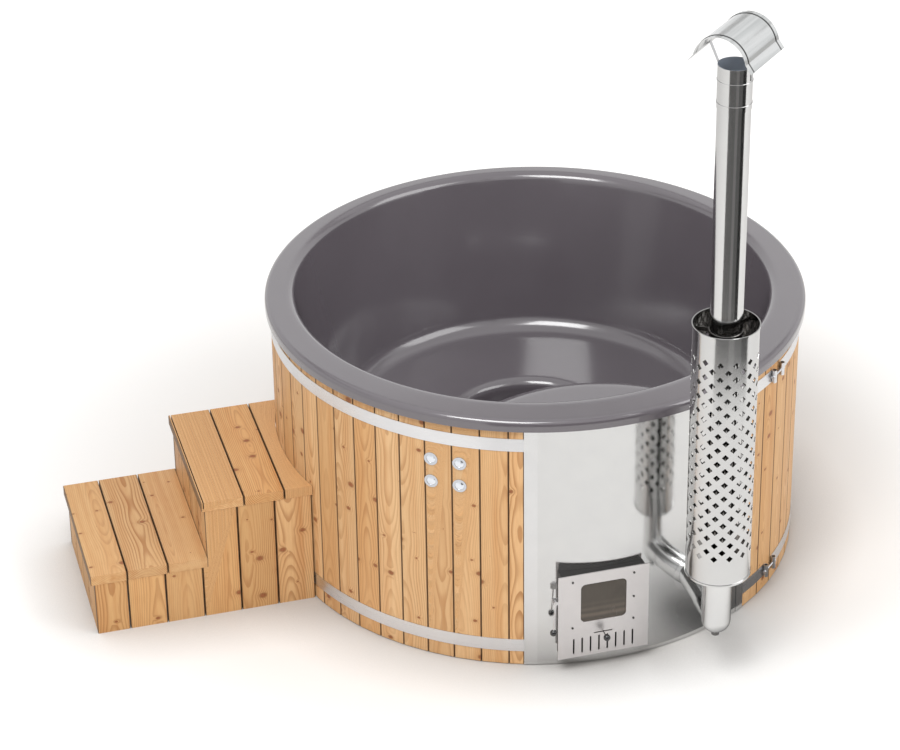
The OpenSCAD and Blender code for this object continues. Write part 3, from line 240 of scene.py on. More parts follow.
# ---- The hidden timber frame ----
# Rough-sawn spruce bearers, a round base board, posts, rings and battens. They are screwed
# together on the ground before the shell goes in, and none of them is planed or oiled.
def grains(tree, at, scale, detail=2.0, rough=0.5, twist=0.0):
    # The scale is one number, or three where the pattern is drawn out along an axis
    if isinstance(scale, tuple):
        at, scale = vector(tree, "MULTIPLY", at, scale), 1.0
    return put(tree, "ShaderNodeTexNoise", {"Vector": at, "Scale": scale, "Detail": detail,
                                            "Roughness": rough, "Distortion": twist}).outputs[0]


def raised(shader, height, depth):
    bump = put(shader.id_data, "ShaderNodeBump", {"Height": height, "Distance": depth,
                                                  "Strength": 1.0})
    feed(shader, "Normal", bump.outputs[0])


def rough_sawn(name, grain_axis):
    surface, tree, shader = new_surface(name, **{"Specular IOR Level": 0.3})
    at = object_point(tree)
    along, across, saw_teeth = 4.0, 90.0, 260.0
    stretch = tuple(along if axis == grain_axis else across for axis in range(3))
    fibre = grains(tree, at, stretch, detail=4, rough=0.6)
    band = grains(tree, at, tuple(s / 8 for s in stretch), twist=0.4)
    teeth = tuple(saw_teeth if axis == grain_axis else 0.0 for axis in range(3))
    marks = put(tree, "ShaderNodeTexWave", {"Vector": vector(tree, "MULTIPLY", at, teeth),
                                            "Scale": 1.0, "Distortion": 3.0})
    tone = blended(tree, band, (0.50, 0.33, 0.17, 1), (0.66, 0.48, 0.28, 1))
    tone = blended(tree, spread(tree, 0.45, 0.7, fibre, 0, 0.45), tone, (0.36, 0.22, 0.11, 1))
    feed(shader, "Base Color", tone)
    feed(shader, "Roughness", spread(tree, 0.3, 0.7, fibre, 0.7, 0.95))
    raised(shader, value(tree, "MULTIPLY_ADD", marks.outputs["Fac"], 0.4, fibre), 0.0012)
    return surface


def dress(surface, *names):
    for name in names:
        for held in nodes[name].material_slots:
            held.material = surface


dress(rough_sawn("sawn_timber_along_y", 1), "base_bearers", "base_board")
dress(rough_sawn("sawn_timber_upright", 2), "shell_supports", "frame_posts", "panel_posts",
      "step_frame")
dress(rough_sawn("sawn_timber_rings", 0), "stave_rings")


# ---- The moulded shell ----
# One shell with a wide rim, a seat all round, a footwell and a raised shelf that the stove stands
# under. The real one is glass-fibre plastic, laid up in a mould under a glossy mauve-grey gelcoat.
gelcoat, tree, shader = new_surface("gelcoat", **{
    "Coat Weight": 1.0, "Coat Roughness": 0.11, "Coat IOR": 1.6, "IOR": 1.5,
    "Specular IOR Level": 0.55})
at = object_point(tree)
tone = blended(tree, grains(tree, at, 3.0, detail=3), (0.100, 0.087, 0.099, 1),
               (0.122, 0.107, 0.121, 1))
speck = grains(tree, at, 900.0, detail=1)
feed(shader, "Base Color", blended(tree, spread(tree, 0.66, 0.74, speck, 0, 0.25), tone,
                                   (0.20, 0.19, 0.21, 1)))
feed(shader, "Roughness", spread(tree, 0.3, 0.7, grains(tree, at, 40.0), 0.16, 0.24))
raised(shader, grains(tree, at, 160.0, detail=0), 0.00003)


def softened(mesh, angle=40):
    mesh.polygons.foreach_set("use_smooth", [True] * len(mesh.polygons))
    mesh.set_sharp_from_angle(angle=math.radians(angle))


rim_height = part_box("tub_shell")[1].z
rim_radius, rim_round, lip_drop, shell_skin = 1.003, 0.018, 0.041, 0.008
bath_y, mouth_radius, mouth_round = 0.040, 0.890, 0.026
seat_height, seat_radius, seat_round = 0.394, 0.743, 0.054
well_y, well_radius, well_foot_radius = 0.070, 0.292, 0.272
well_floor, well_round, well_edge = 0.105, 0.060, 0.035
shelf_x, shelf_half_width, shelf_height = 0.010, 0.430, 0.750
shelf_back_x, shelf_back_y, shelf_back_radius = -0.002, -0.869, 0.639
shelf_corner, shelf_round, shelf_foot = 0.040, 0.100, 0.038


def round_union(a, b, radius):
    u = np.maximum(radius - a, 0)
    v = np.maximum(radius - b, 0)
    return np.maximum(radius, np.minimum(a, b)) - np.hypot(u, v)


def round_cut(a, b, radius):
    return -round_union(-a, -b, radius)


def lean_wall(reach, height, top, bottom):
    (top_reach, top_height), (low_reach, low_height) = top, bottom
    dx, dz = top_reach - low_reach, top_height - low_height
    return ((reach - low_reach) * dz - (height - low_height) * dx) / math.hypot(dx, dz)


def shell_depth(x, y, z):
    # Below nought inside the moulded form, above nought in the bath and in the air
    bath_wall = lean_wall(np.hypot(x, y - bath_y), z, (mouth_radius, rim_height),
                          (seat_radius, seat_height))
    bath = round_cut(bath_wall, seat_height - z, seat_round)
    well_wall = lean_wall(np.hypot(x, y - well_y), z, (well_radius, seat_height),
                          (well_foot_radius, well_floor))
    well = round_cut(well_wall, well_floor - z, well_round)
    form = round_cut(-round_union(bath, well, well_edge), z - rim_height, mouth_round)
    shelf_back = np.hypot(x - shelf_back_x, y - shelf_back_y) - shelf_back_radius
    shelf = round_cut(np.abs(x - shelf_x) - shelf_half_width, shelf_back, shelf_corner)
    shelf = round_cut(shelf, z - shelf_height, shelf_round)
    form = round_union(form, shelf, shelf_foot)
    return round_cut(form, np.hypot(x, y) - rim_radius, rim_round)


def shell_slope(p):
    probe = 0.0004
    slope = np.empty_like(p)
    for axis in range(3):
        more, less = p.copy(), p.copy()
        more[..., axis] += probe
        less[..., axis] -= probe
        slope[..., axis] = shell_depth(*np.moveaxis(more, -1, 0)) - shell_depth(
            *np.moveaxis(less, -1, 0))
    return slope / np.maximum(np.linalg.norm(slope, axis=-1, keepdims=True), 1e-12)


# The bath up to a level just over the shelf: one point in every small cell that the form crosses,
# joined to its neighbours, evened out and drawn onto the form
cell, join_height, grid_reach = 0.0136, 0.812, 0.94
settle_rounds, smooth_rounds, smooth_share = 14, 8, 0.6
low = np.array((-0.885, -0.845, 0.085))
cells = np.array((135, 137, int((join_height - low[2]) / cell) + 2))
axes = [low[i] + cell * np.arange(cells[i] + 1) for i in range(3)]
inside = shell_depth(*np.meshgrid(*axes, indexing="ij")) < 0
corners = [inside[i:cells[0] + i, j:cells[1] + j, k:cells[2] + k]
           for i in (0, 1) for j in (0, 1) for k in (0, 1)]
filled = sum(c.astype(int) for c in corners)
crossed = (filled > 0) & (filled < 8)
top_layer = int((join_height - low[2]) / cell) - 1
mid_x, mid_y = (axes[i][:-1] + cell / 2 for i in (0, 1))
crossed &= (np.hypot(mid_x[:, None], mid_y[None, :]) < grid_reach)[:, :, None]
crossed[:, :, top_layer + 1:] = False
number = -np.ones(cells, int)
number[crossed] = np.arange(crossed.sum())
spots = low + cell * (np.argwhere(crossed) + 0.5)
quads = []
for axis in range(3):
    a, b = [(1, 2), (2, 0), (0, 1)][axis]
    here = [slice(1, cells[i]) for i in range(3)]
    here[axis] = slice(0, cells[axis])
    ahead = list(here)
    ahead[axis] = slice(1, cells[axis] + 1)
    start, end = inside[tuple(here)], inside[tuple(ahead)]
    around = []
    for da, db in ((0, 0), (1, 0), (1, 1), (0, 1)):
        part = list(here)
        part[a] = slice(1 - da, cells[a] - da)
        part[b] = slice(1 - db, cells[b] - db)
        around.append(number[tuple(part)])
    four = np.stack(around, -1)
    whole = (four >= 0).all(-1)
    quads.append(four[(start & ~end) & whole])
    quads.append(four[(~start & end) & whole][:, ::-1])
quads = np.concatenate(quads)
neighbours = np.unique(np.sort(np.concatenate(
    [quads[:, [i, (i + 1) % 4]] for i in range(4)]), axis=1), axis=0)
degree = np.bincount(neighbours.ravel(), minlength=len(spots))[:, None]
for settle in range(settle_rounds):
    if settle < smooth_rounds:
        pull = np.zeros_like(spots)
        np.add.at(pull, neighbours[:, 0], spots[neighbours[:, 1]])
        np.add.at(pull, neighbours[:, 1], spots[neighbours[:, 0]])
        spots = spots * (1 - smooth_share) + pull / np.maximum(degree, 1) * smooth_share
    spots = spots - shell_slope(spots) * shell_depth(*spots.T)[:, None]

# Its open edge is made level and round, and becomes the first ring under the upper wall
ways = np.concatenate([quads[:, [i, (i + 1) % 4]] for i in range(4)])
back = {(int(b), int(a)) for a, b in ways}
rim_next = {int(a): int(b) for a, b in ways if (int(a), int(b)) not in back}
loop = [next(iter(rim_next))]
while rim_next[loop[-1]] != loop[0]:
    loop.append(rim_next[loop[-1]])
lean = (mouth_radius - seat_radius) / (rim_height - seat_height)
wall_reach = seat_radius + (join_height - seat_height) * lean
loop_angle = np.arctan2(spots[loop, 1] - bath_y, spots[loop, 0])
spots[loop, 0] = wall_reach * np.cos(loop_angle)
spots[loop, 1] = bath_y + wall_reach * np.sin(loop_angle)
spots[loop, 2] = join_height

# The upper wall, the mouth, the flat rim and its lip: walked outward in every direction at once
directions, per_walk = 420, 38
walk_pace, lip_reach = 0.002, 0.99
even_leg, even_bend, bend_blur = 0.022, 0.17, 7
heading = np.arange(directions) * 2 * math.pi / directions
aim = np.stack([np.cos(heading), np.sin(heading), np.zeros(directions)], -1)
middle = np.array((0, bath_y, 0))
first_height = join_height + 0.008
at_point = middle + aim * (seat_radius + (first_height - seat_height) * lean)
at_point[:, 2] = first_height
walk = [at_point.copy()]
end_height = rim_height - lip_drop
going = np.ones(directions, bool)
while going.any():
    slope = shell_slope(at_point)
    out, up = (slope * aim).sum(-1), slope[:, 2]
    size = np.maximum(np.hypot(out, up), 1e-6)
    pace = np.where(going, walk_pace / size, 0)[:, None]
    at_point = at_point + pace * (aim * up[:, None] - np.outer(out, (0, 0, 1)))
    for correction in range(2):
        slope = shell_slope(at_point)
        out, up = (slope * aim).sum(-1), slope[:, 2]
        off = shell_depth(*at_point.T) / np.maximum(out * out + up * up, 1e-3) * going
        at_point = at_point - off[:, None] * (aim * out[:, None] + np.outer(up, (0, 0, 1)))
    walk.append(at_point.copy())
    going &= ~((at_point[:, 2] <= end_height) & (np.hypot(*at_point[:, :2].T) > lip_reach))
path = np.array(walk)
strip = np.empty((directions, per_walk, 3))
for i in range(directions):
    line = path[:, i]
    line = line[np.append(np.linalg.norm(np.diff(line, axis=0), axis=1) > 1e-7, True)]
    leg = np.linalg.norm(np.diff(line, axis=0), axis=1)
    turn = np.arctan2(np.diff(line[:, 2]), np.diff((line - middle) @ aim[i]))
    bend = np.abs(np.append(np.diff(turn), 0))
    bend = np.convolve(bend, np.ones(bend_blur) / bend_blur, "same")
    place = np.concatenate([[0], np.cumsum(leg / even_leg + bend / even_bend)])
    wanted = np.linspace(0, place[-1], per_walk)
    strip[i] = np.stack([np.interp(wanted, place, line[:, axis]) for axis in range(3)], -1)
strip[:, -1, 2] = end_height

# The upper skin, the under skin one wall's thickness away, and the faces between rows
offset = len(spots)
upper = np.concatenate([spots, strip.reshape(-1, 3)])
slope = shell_slope(upper)
ends = offset + np.arange(directions) * per_walk + per_walk - 1
slope[ends, 2] = 0
slope[ends] /= np.linalg.norm(slope[ends], axis=-1, keepdims=True)
under = upper - shell_skin * slope
under[ends, 2] = end_height
faces = [tuple(int(v) for v in q) for q in quads]
this = offset + np.arange(directions)[:, None] * per_walk + np.arange(per_walk - 1)[None, :]
after = np.roll(this, -1, axis=0)
faces += [tuple(int(v) for v in q) for q in np.stack([this, this + 1, after + 1, after],
                                                     -1).reshape(-1, 4)]


def ring_turn(ring):
    return np.unwrap(np.arctan2(spots[ring, 1] - bath_y, spots[ring, 0]))


# The gap between the two rings is closed with triangles, each taken from the side that lags
lower_ring = loop[::-1]
if ring_turn(lower_ring)[-1] < ring_turn(lower_ring)[0]:
    lower_ring = lower_ring[::-1]
off_start = np.mod(ring_turn(lower_ring) + math.pi, 2 * math.pi) - math.pi
shift = int(np.argmin(np.abs(off_start)))
lower_ring = lower_ring[shift:] + lower_ring[:shift]
lower_turn = ring_turn(lower_ring)
lower_turn = np.append(lower_turn, lower_turn[0] + 2 * math.pi)
lower_ring.append(lower_ring[0])
upper_ring = [int(offset + (i % directions) * per_walk) for i in range(directions + 1)]
upper_turn = np.arange(directions + 1) * 2 * math.pi / directions
i = j = 0
while i < len(lower_ring) - 1 or j < directions:
    if j == directions or (i < len(lower_ring) - 1 and lower_turn[i + 1] < upper_turn[j + 1]):
        faces.append((lower_ring[i], upper_ring[j], lower_ring[i + 1]))
        i += 1
    else:
        faces.append((lower_ring[i], upper_ring[j], upper_ring[j + 1]))
        j += 1
count = len(upper)
faces += [tuple(count + v for v in reversed(f)) for f in faces]
for a, b in zip(ends, np.roll(ends, -1)):
    faces.append((int(a), int(count + a), int(count + b), int(b)))
moulded_shell = faced("moulded_shell", [tuple(p) for p in np.concatenate([upper, under])],
                      faces, gelcoat)
softened(moulded_shell.data, 60)
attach(moulded_shell, "tub")
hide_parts("tub_shell")


# ---- The foam ----
# Sprayed polyurethane on the back of the bath's wall, which keeps the water warm. It is hidden
# between the shell and the cladding, and its skin is blistered and straw-coloured.
foam, tree, shader = new_surface("sprayed_foam", **{"Roughness": 0.95})
blister = put(tree, "ShaderNodeTexVoronoi", {"Vector": object_point(tree), "Scale": 45.0},
              feature="SMOOTH_F1").outputs["Distance"]
feed(shader, "Base Color", blended(tree, blister, (0.80, 0.66, 0.36, 1), (0.55, 0.41, 0.18, 1)))
raised(shader, blister, 0.004)
dress(foam, "insulation")


# ---- The cladding ----
# Fifty-two planed pine boards and one narrow starter stand side by side around the frame, each
# with rounded edges and an open seam. They are nailed to the rings from inside and oiled.
tub_radius = 0.985
panel_left, panel_right = -109.1, -56.2
starter_width, stave_thickness, stave_edge = 0.054, 0.028, 0.0025
seam, saw_play = 0.002, 0.0004
stave_foot, stave_top = 0.003, 1.0127
starter_turn = math.degrees(starter_width / tub_radius)
boards_from = panel_left - starter_turn
board_count = 52
board_turn = (boards_from + 360 - panel_right) / board_count
knot_brim, painted_seam_shade = (0.27, 0.105, 0.035, 1), (0.080, 0.043, 0.020, 1)
knot_dark, knot_pale = (0.19, 0.050, 0.018, 1), (0.40, 0.145, 0.055, 1)
knot_pitch_across, knot_pitch_along = 0.085, 0.15
knot_half_width, knot_half_length = 0.0092, 0.0068
year_width = 0.0062


def pine_surface(name, pale, warm, line, line_strength):
    surface, tree, shader = new_surface(name, **{"Specular IOR Level": 0.35})
    local = put(tree, "ShaderNodeAttribute", attribute_name="grain_at").outputs["Vector"]
    seed = put(tree, "ShaderNodeAttribute", attribute_name="grain_seed").outputs["Fac"]
    across, deep, along = put(tree, "ShaderNodeSeparateXYZ", {0: local}).outputs

    def times(a, b):
        return value(tree, "MULTIPLY", a, b)

    def scaled(a, b, start):
        return value(tree, "MULTIPLY_ADD", a, b, start)

    def draw(stir):
        return value(tree, "FRACT", times(seed, stir))

    shifted = point(tree, scaled(seed, 37.0, across), scaled(seed, 11.3, deep),
                    scaled(seed, 53.7, along))

    # Knots: one chance in each cell of a loose grid, wider across the board than along it
    grid = point(tree, value(tree, "DIVIDE", scaled(seed, 7.7, across), knot_pitch_across),
                 value(tree, "DIVIDE", scaled(seed, 53.7, along), knot_pitch_along))
    knot = put(tree, "ShaderNodeTexVoronoi", {"Vector": grid, "Scale": 1.0, "Randomness": 0.95},
               voronoi_dimensions="2D")
    offset = vector(tree, "MULTIPLY", vector(tree, "SUBTRACT", grid, knot.outputs["Position"]),
                    (knot_pitch_across / knot_half_width, knot_pitch_along / knot_half_length, 0))
    lot = put(tree, "ShaderNodeSeparateColor", {0: knot.outputs["Color"]}).outputs[0]
    size = spread(tree, 0.25, 1.0, lot, 0.001, 1.3)
    ragged = grains(tree, shifted, (160, 160, 160))
    reach = value(tree, "DIVIDE", value(tree, "ADD", vector(tree, "LENGTH", offset),
                                        spread(tree, 0, 1, ragged, -0.25, 0.25)), size)
    heart = spread(tree, 1.05, 0.75, reach, smooth=True)
    brim = times(spread(tree, 1.7, 1.0, reach, smooth=True),
                 spread(tree, 0.62, 0.95, reach, smooth=True))
    swell = value(tree, "EXPONENT", times(times(reach, reach), -0.16))

    # Rings: distance from a pith that lies behind the board and wanders along it
    slow = grains(tree, shifted, (0, 0, 1.6), detail=1)
    wobble = grains(tree, shifted, (11, 11, 1.7), detail=1)
    fine = grains(tree, shifted, (45, 45, 9))
    pith_depth = value(tree, "ADD", scaled(draw(7.31), 0.05, 0.003),
                       spread(tree, 0.25, 0.75, slow, 0.0, 0.055))
    pith_depth = value(tree, "ADD", pith_depth, deep)
    side = value(tree, "SUBTRACT", across, scaled(draw(3.17), 0.09, -0.045))
    ring = value(tree, "SQRT", scaled(side, side, times(pith_depth, pith_depth)))
    ring = scaled(wobble, 0.011, ring)
    ring = scaled(fine, 0.0016, ring)
    ring = scaled(swell, 0.009, ring)
    year = value(tree, "FRACT", value(tree, "DIVIDE", ring, year_width))
    late = times(spread(tree, 0.35, 0.88, year, smooth=True),
                 spread(tree, 1.0, 0.93, year, smooth=True))
    faint = scaled(draw(5.7), 0.65, 0.35)
    patchy = grains(tree, shifted, (9, 9, 1.6))
    late = times(times(late, times(faint, line_strength)),
                 spread(tree, 0.3, 0.62, patchy, 0.35, 1.0))

    # Colour: board to board, broad streaks, ring lines, fibres, the knots, then painted shade
    # along the seams
    tone = blended(tree, draw(13.9), pale, warm)
    streak = grains(tree, shifted, (38, 38, 0.9), detail=3)
    tone = blended(tree, spread(tree, 0.42, 0.75, streak, 0.0, 0.65), tone,
                   (line[0] * 1.42, line[1] * 1.55, line[2] * 1.7, 1))
    bright = scaled(draw(17.3), 0.16, 0.92)
    tone = blended(tree, 1.0, tone, put(tree, "ShaderNodeCombineColor", {
        0: bright, 1: bright, 2: bright}).outputs[0], "MULTIPLY")
    tone = blended(tree, late, tone, line)
    fibre = grains(tree, shifted, (620, 620, 14), detail=3, rough=0.6)
    tone = blended(tree, spread(tree, 0.52, 0.8, fibre, 0.0, 0.5), tone,
                   (line[0] * 1.15, line[1] * 1.15, line[2] * 1.2, 1))
    tone = blended(tree, times(swell, 0.30), tone, line)
    tone = blended(tree, times(brim, 0.75), tone, knot_brim)
    tone = blended(tree, times(heart, 0.95), tone, blended(tree, ragged, knot_dark, knot_pale))
    # Painted shade: each board darkens towards its rounded edges at the seams
    half = put(tree, "ShaderNodeAttribute", attribute_name="grain_half").outputs["Fac"]
    to_edge = value(tree, "SUBTRACT", half, value(tree, "ABSOLUTE", across))
    tone = blended(tree, spread(tree, 0.0036, 0.0010, to_edge, 0, 0.80, smooth=True), tone,
                   painted_seam_shade)
    feed(shader, "Base Color", tone)
    feed(shader, "Roughness", spread(tree, 0.3, 0.7, fibre, 0.42, 0.64))
    height = scaled(late, -0.35, times(fibre, 0.5))
    raised(shader, scaled(heart, 0.3, height), 0.00035)
    return surface


def new_tree(name, inputs):
    tree = bpy.data.node_groups.new(name, "GeometryNodeTree")
    for label, kind, start in inputs:
        socket = tree.interface.new_socket(label, in_out="INPUT", socket_type="NodeSocket" + kind)
        if start is not None:
            socket.default_value = start
    tree.interface.new_socket("Geometry", in_out="OUTPUT", socket_type="NodeSocketGeometry")
    return tree, tree.nodes.new("NodeGroupInput").outputs


def close_tree(tree, geometry, material):
    real = put(tree, "GeometryNodeRealizeInstances", {0: geometry})
    dressed = put(tree, "GeometryNodeSetMaterial", {0: real.outputs[0], "Material": material})
    put(tree, "NodeGroupOutput", {0: dressed.outputs[0]})


def settled(thing):
    # The mesh that a thing's modifiers make of it
    bpy.context.view_layer.update()
    return bpy.data.meshes.new_from_object(
        thing.evaluated_get(bpy.context.evaluated_depsgraph_get()))


def grown(name, tree, inputs):
    seedling = link_mesh(name, bpy.data.meshes.new(name))
    grow = seedling.modifiers.new("grow", "NODES")
    grow.node_group = tree
    for item in tree.interface.items_tree:
        if item.item_type == "SOCKET" and item.in_out == "INPUT" and item.name in inputs:
            grow[item.identifier] = inputs[item.name]
    ready = settled(seedling)
    bpy.data.objects.remove(seedling)
    return ready


# Boards in a row or around a centre: a rounded profile carried along its length
board_tree, given = new_tree("boards", (
    ("Count", "Int", 1), ("Width", "Float", 0.1), ("Thickness", "Float", 0.02),
    ("Length", "Float", 1.0), ("Edge Radius", "Float", 0.002), ("First", "Vector", (0, 0, 0)),
    ("Pitch", "Vector", (0, 0, 0)), ("Turn", "Vector", (0, 0, 0)), ("First Angle", "Float", 0.0),
    ("Angle Pitch", "Float", 0.0), ("Ring Radius", "Float", 0.0), ("Seed", "Int", 1),
    ("Material", "Material", None)))


def make(kind, sockets=None, **settings):
    return put(board_tree, "GeometryNode" + kind, sockets, **settings).outputs[0]


outline = make("CurvePrimitiveQuadrilateral", {"Width": given["Width"],
                                               "Height": given["Thickness"]})
rounded = make("FilletCurve", {0: outline, "Count": 3, "Radius": given["Edge Radius"]},
               mode="POLY")
rail = make("CurvePrimitiveLine", {"End": point(board_tree, z=given["Length"])})
plank = make("CurveToMesh", {"Curve": rail, "Profile Curve": rounded, "Fill Caps": True})
marked = make("StoreNamedAttribute", {"Geometry": plank, "Name": "grain_at",
                                      "Value": make("InputPosition")},
              data_type="FLOAT_VECTOR", domain="CORNER")
marked = make("StoreNamedAttribute", {"Geometry": marked, "Name": "grain_half", "Value": value(
    board_tree, "MULTIPLY", given["Width"], 0.5)}, data_type="FLOAT", domain="CORNER")
row = make("MeshLine", {"Count": given["Count"], "Offset": given["Pitch"],
                        "Start Location": given["First"]})
angle = value(board_tree, "MULTIPLY_ADD", make("InputIndex"), given["Angle Pitch"],
              given["First Angle"])
outward = point(board_tree, value(board_tree, "COSINE", angle),
                value(board_tree, "SINE", angle))
reach = put(board_tree, "ShaderNodeVectorMath", {0: outward, "Scale": given["Ring Radius"]},
            operation="SCALE")
places = make("SetPosition", {0: row, "Offset": reach.outputs[0]})
turned = vector(board_tree, "ADD", point(board_tree, z=angle), given["Turn"])
boards = make("InstanceOnPoints", {0: places, "Instance": marked, "Rotation": turned})
lot = put(board_tree, "FunctionNodeRandomValue", {"Seed": given["Seed"]}, data_type="FLOAT")
drawn = make("StoreNamedAttribute", {"Geometry": boards, "Name": "grain_seed",
                                     "Value": lot.outputs["Value"]},
             data_type="FLOAT", domain="INSTANCE")
close_tree(board_tree, drawn, given["Material"])


def as_mesh(shape, name):
    mesh = bpy.data.meshes.new(name)
    shape.to_mesh(mesh)
    shape.free()
    return mesh


def joined(name, meshes):
    whole = bmesh.new()
    kinds = []
    for mesh in meshes:
        kinds += [m for m in mesh.materials if m and m not in kinds]
        whole.from_mesh(mesh)
        bpy.data.meshes.remove(mesh)
    result = as_mesh(whole, name)
    for kind in kinds:
        result.materials.append(kind)
    return result


def span(points):
    points = np.array([tuple(p) for p in points])
    return points.min(axis=0), points.max(axis=0)


def meets(one, other):
    return (one[0] < other[1]).all() and (other[0] < one[1]).all()


def drilled(piece, cutters):
    # Only the boards that a cutter reaches are cut, one at a time and in the mesh's order
    whole = bmesh.new()
    whole.from_mesh(piece.data)
    spans = [span(v.co for v in c.vertices) for c in cutters]
    left = set(whole.verts)
    cut_boards = []
    while left:
        board, edge = set(), [left.pop()]
        while edge:
            vert = edge.pop()
            board.add(vert)
            for link in vert.link_edges:
                other = link.other_vert(vert)
                if other in left:
                    left.discard(other)
                    edge.append(other)
        reach = span(v.co for v in board)
        tools = [c for c, s in zip(cutters, spans) if meets(reach, s)]
        if tools:
            cut_boards.append(({v.index for v in board}, tools))
    cut_boards.sort(key=lambda cut_board: min(cut_board[0]))
    done = []
    for kept, tools in cut_boards:
        one = bmesh.new()
        one.from_mesh(piece.data)
        bmesh.ops.delete(one, geom=[v for v in one.verts if v.index not in kept])
        board_mesh = piece.data.copy()
        one.to_mesh(board_mesh)
        one.free()
        board = link_mesh("board", board_mesh)
        for tool_mesh in tools:
            tool = link_mesh("cutting_tool", tool_mesh)
            cut = board.modifiers.new("cut", "BOOLEAN")
            cut.object = tool
            cut.solver = "EXACT"
            result = settled(board)
            board.modifiers.clear()
            board.data = result
            bpy.data.objects.remove(tool)
        done.append(board.data)
        bpy.data.objects.remove(board)
    touched = set().union(*[kept for kept, tools in cut_boards])
    bmesh.ops.delete(whole, geom=[v for v in whole.verts if v.index in touched])
    rest = piece.data.copy()
    whole.to_mesh(rest)
    whole.free()
    piece.data = joined(piece.data.name, [rest] + done)


def rod_mesh(radius, start, end, sides=48):
    start, end = Vector(start), Vector(end)
    shape = bmesh.new()
    bmesh.ops.create_cone(shape, cap_ends=True, segments=sides, radius1=radius, radius2=radius,
                          depth=(end - start).length)
    aim = (end - start).to_track_quat("Z", "Y").to_matrix().to_4x4()
    bmesh.ops.transform(shape, matrix=Matrix.Translation((start + end) / 2) @ aim,
                        verts=shape.verts)
    return as_mesh(shape, "rod")


oiled_pine = pine_surface("oiled_pine", pale=(0.740, 0.480, 0.250, 1),
                          warm=(0.680, 0.400, 0.180, 1), line=(0.400, 0.170, 0.052, 1),
                          line_strength=0.8)


def staves(count, turn, from_angle, gap, seed):
    half = math.radians(turn / 2)
    face = tub_radius * math.cos(half)
    return grown("staves", board_tree, {
        "Count": count, "Width": 2 * face * math.tan(half) - gap, "Thickness": stave_thickness,
        "Turn": (0, 0, math.pi / 2), "Length": stave_top - stave_foot,
        "Edge Radius": stave_edge, "First": (0, 0, stave_foot),
        "First Angle": math.radians(from_angle - turn / 2), "Angle Pitch": -math.radians(turn),
        "Ring Radius": face - stave_thickness / 2, "Seed": seed, "Material": oiled_pine})


cladding = link_mesh("cladding_boards", joined("cladding_boards", [
    staves(board_count, board_turn, boards_from, seam + saw_play, 11),
    staves(1, starter_turn, panel_left, seam, 5)]))

button_bore, drain_bore = 0.0184, 0.026
bore_from, bore_to = 0.93, 1.03
drain_from, drain_to = 0.90, 1.06
cutters = []
for turn in (-128.4, -122.29):
    for height in (0.733, 0.823):
        x, y = math.cos(math.radians(turn)), math.sin(math.radians(turn))
        cutters.append(rod_mesh(button_bore, (x * bore_from, y * bore_from, height),
                                (x * bore_to, y * bore_to, height)))
drain_low, drain_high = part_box("drain_cap")
drain_spot = (drain_low + drain_high) / 2
cutters.append(rod_mesh(drain_bore, (drain_spot.x, drain_from, drain_spot.z),
                        (drain_spot.x, drain_to, drain_spot.z)))
drilled(cladding, cutters)
softened(cladding.data)
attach(cladding, "tub")
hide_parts("cladding_staves")


# ---- The hoops ----
# Two straps of bright stainless steel are drawn tight around the boards. Each ends in two rolled
# lugs on the right, which a bolt and a nut pull together.

# How fine each kind of brushing is along X, Y and Z
brushings = {"rolled": (3, 3, 1400), "turned": (5, 5, 1100), "sideways": (9, 1300, 1300),
             "upright": (1300, 1300, 9)}


def steel_surface(name, base, rough, scuff, brushing="rolled", wave=0.0, fine=0.00005,
                  shade=None):
    surface, tree, shader = new_surface(name, **{"Metallic": 1.0})
    at = object_point(tree)
    lines = grains(tree, at, brushings[brushing], detail=3)
    smear = grains(tree, at, 14.0, detail=4, rough=0.6)
    tone = blended(tree, spread(tree, 0.35, 0.75, smear, 0.0, 0.25), base,
                   (base[0] * 0.86, base[1] * 0.86, base[2] * 0.88, 1))
    for factor, colour in shade(tree, at) if shade else ():
        tone = blended(tree, factor, tone, colour)
    feed(shader, "Base Color", tone)
    scratch = spread(tree, 0.25, 0.75, lines, rough - scuff / 2, rough + scuff / 2)
    feed(shader, "Roughness", value(tree, "MULTIPLY_ADD", smear, 0.08, scratch, clamp=True))
    height = value(tree, "MULTIPLY", lines, fine)
    if wave:
        height = value(tree, "MULTIPLY_ADD", grains(tree, at, 5.0, detail=1), wave, height)
    raised(shader, height, 1.0)
    return surface


dress(steel_surface("hoop_steel", (0.74, 0.74, 0.75, 1), 0.26, 0.10), "hoop_upper", "hoop_lower",
      "hoop_lugs")
dress(steel_surface("bolt_steel", (0.70, 0.70, 0.72, 1), 0.30, 0.10), "hoop_bolts", "hoop_nuts")


# ---- The steel panel ----
# One sheet of mirror-polished stainless steel closes the cladding in front of the stove. Two
# upright strips cover its edges. It is bent to the tub's curve and screwed to posts behind.
dress(steel_surface("mirror_polished_steel", (0.635, 0.635, 0.63, 1), 0.07, 0.02, wave=0.0012,
                    fine=0.00001), "steel_panel")
dress(steel_surface("strip_steel", (0.68, 0.68, 0.68, 1), 0.16, 0.06, "upright"), "panel_trims")


# ---- The stove ----
# A welded steel water jacket with the firebox inside it stands under the shell's shelf. A sheet
# housing carries the door, an iron grate carries the logs and a cord seals the door.
dress(steel_surface("welded_steel", (0.30, 0.29, 0.28, 1), 0.45, 0.2), "stove_body")
dress(steel_surface("housing_steel", (0.085, 0.082, 0.08, 1), 0.48, 0.12, "sideways"),
      "door_housing")

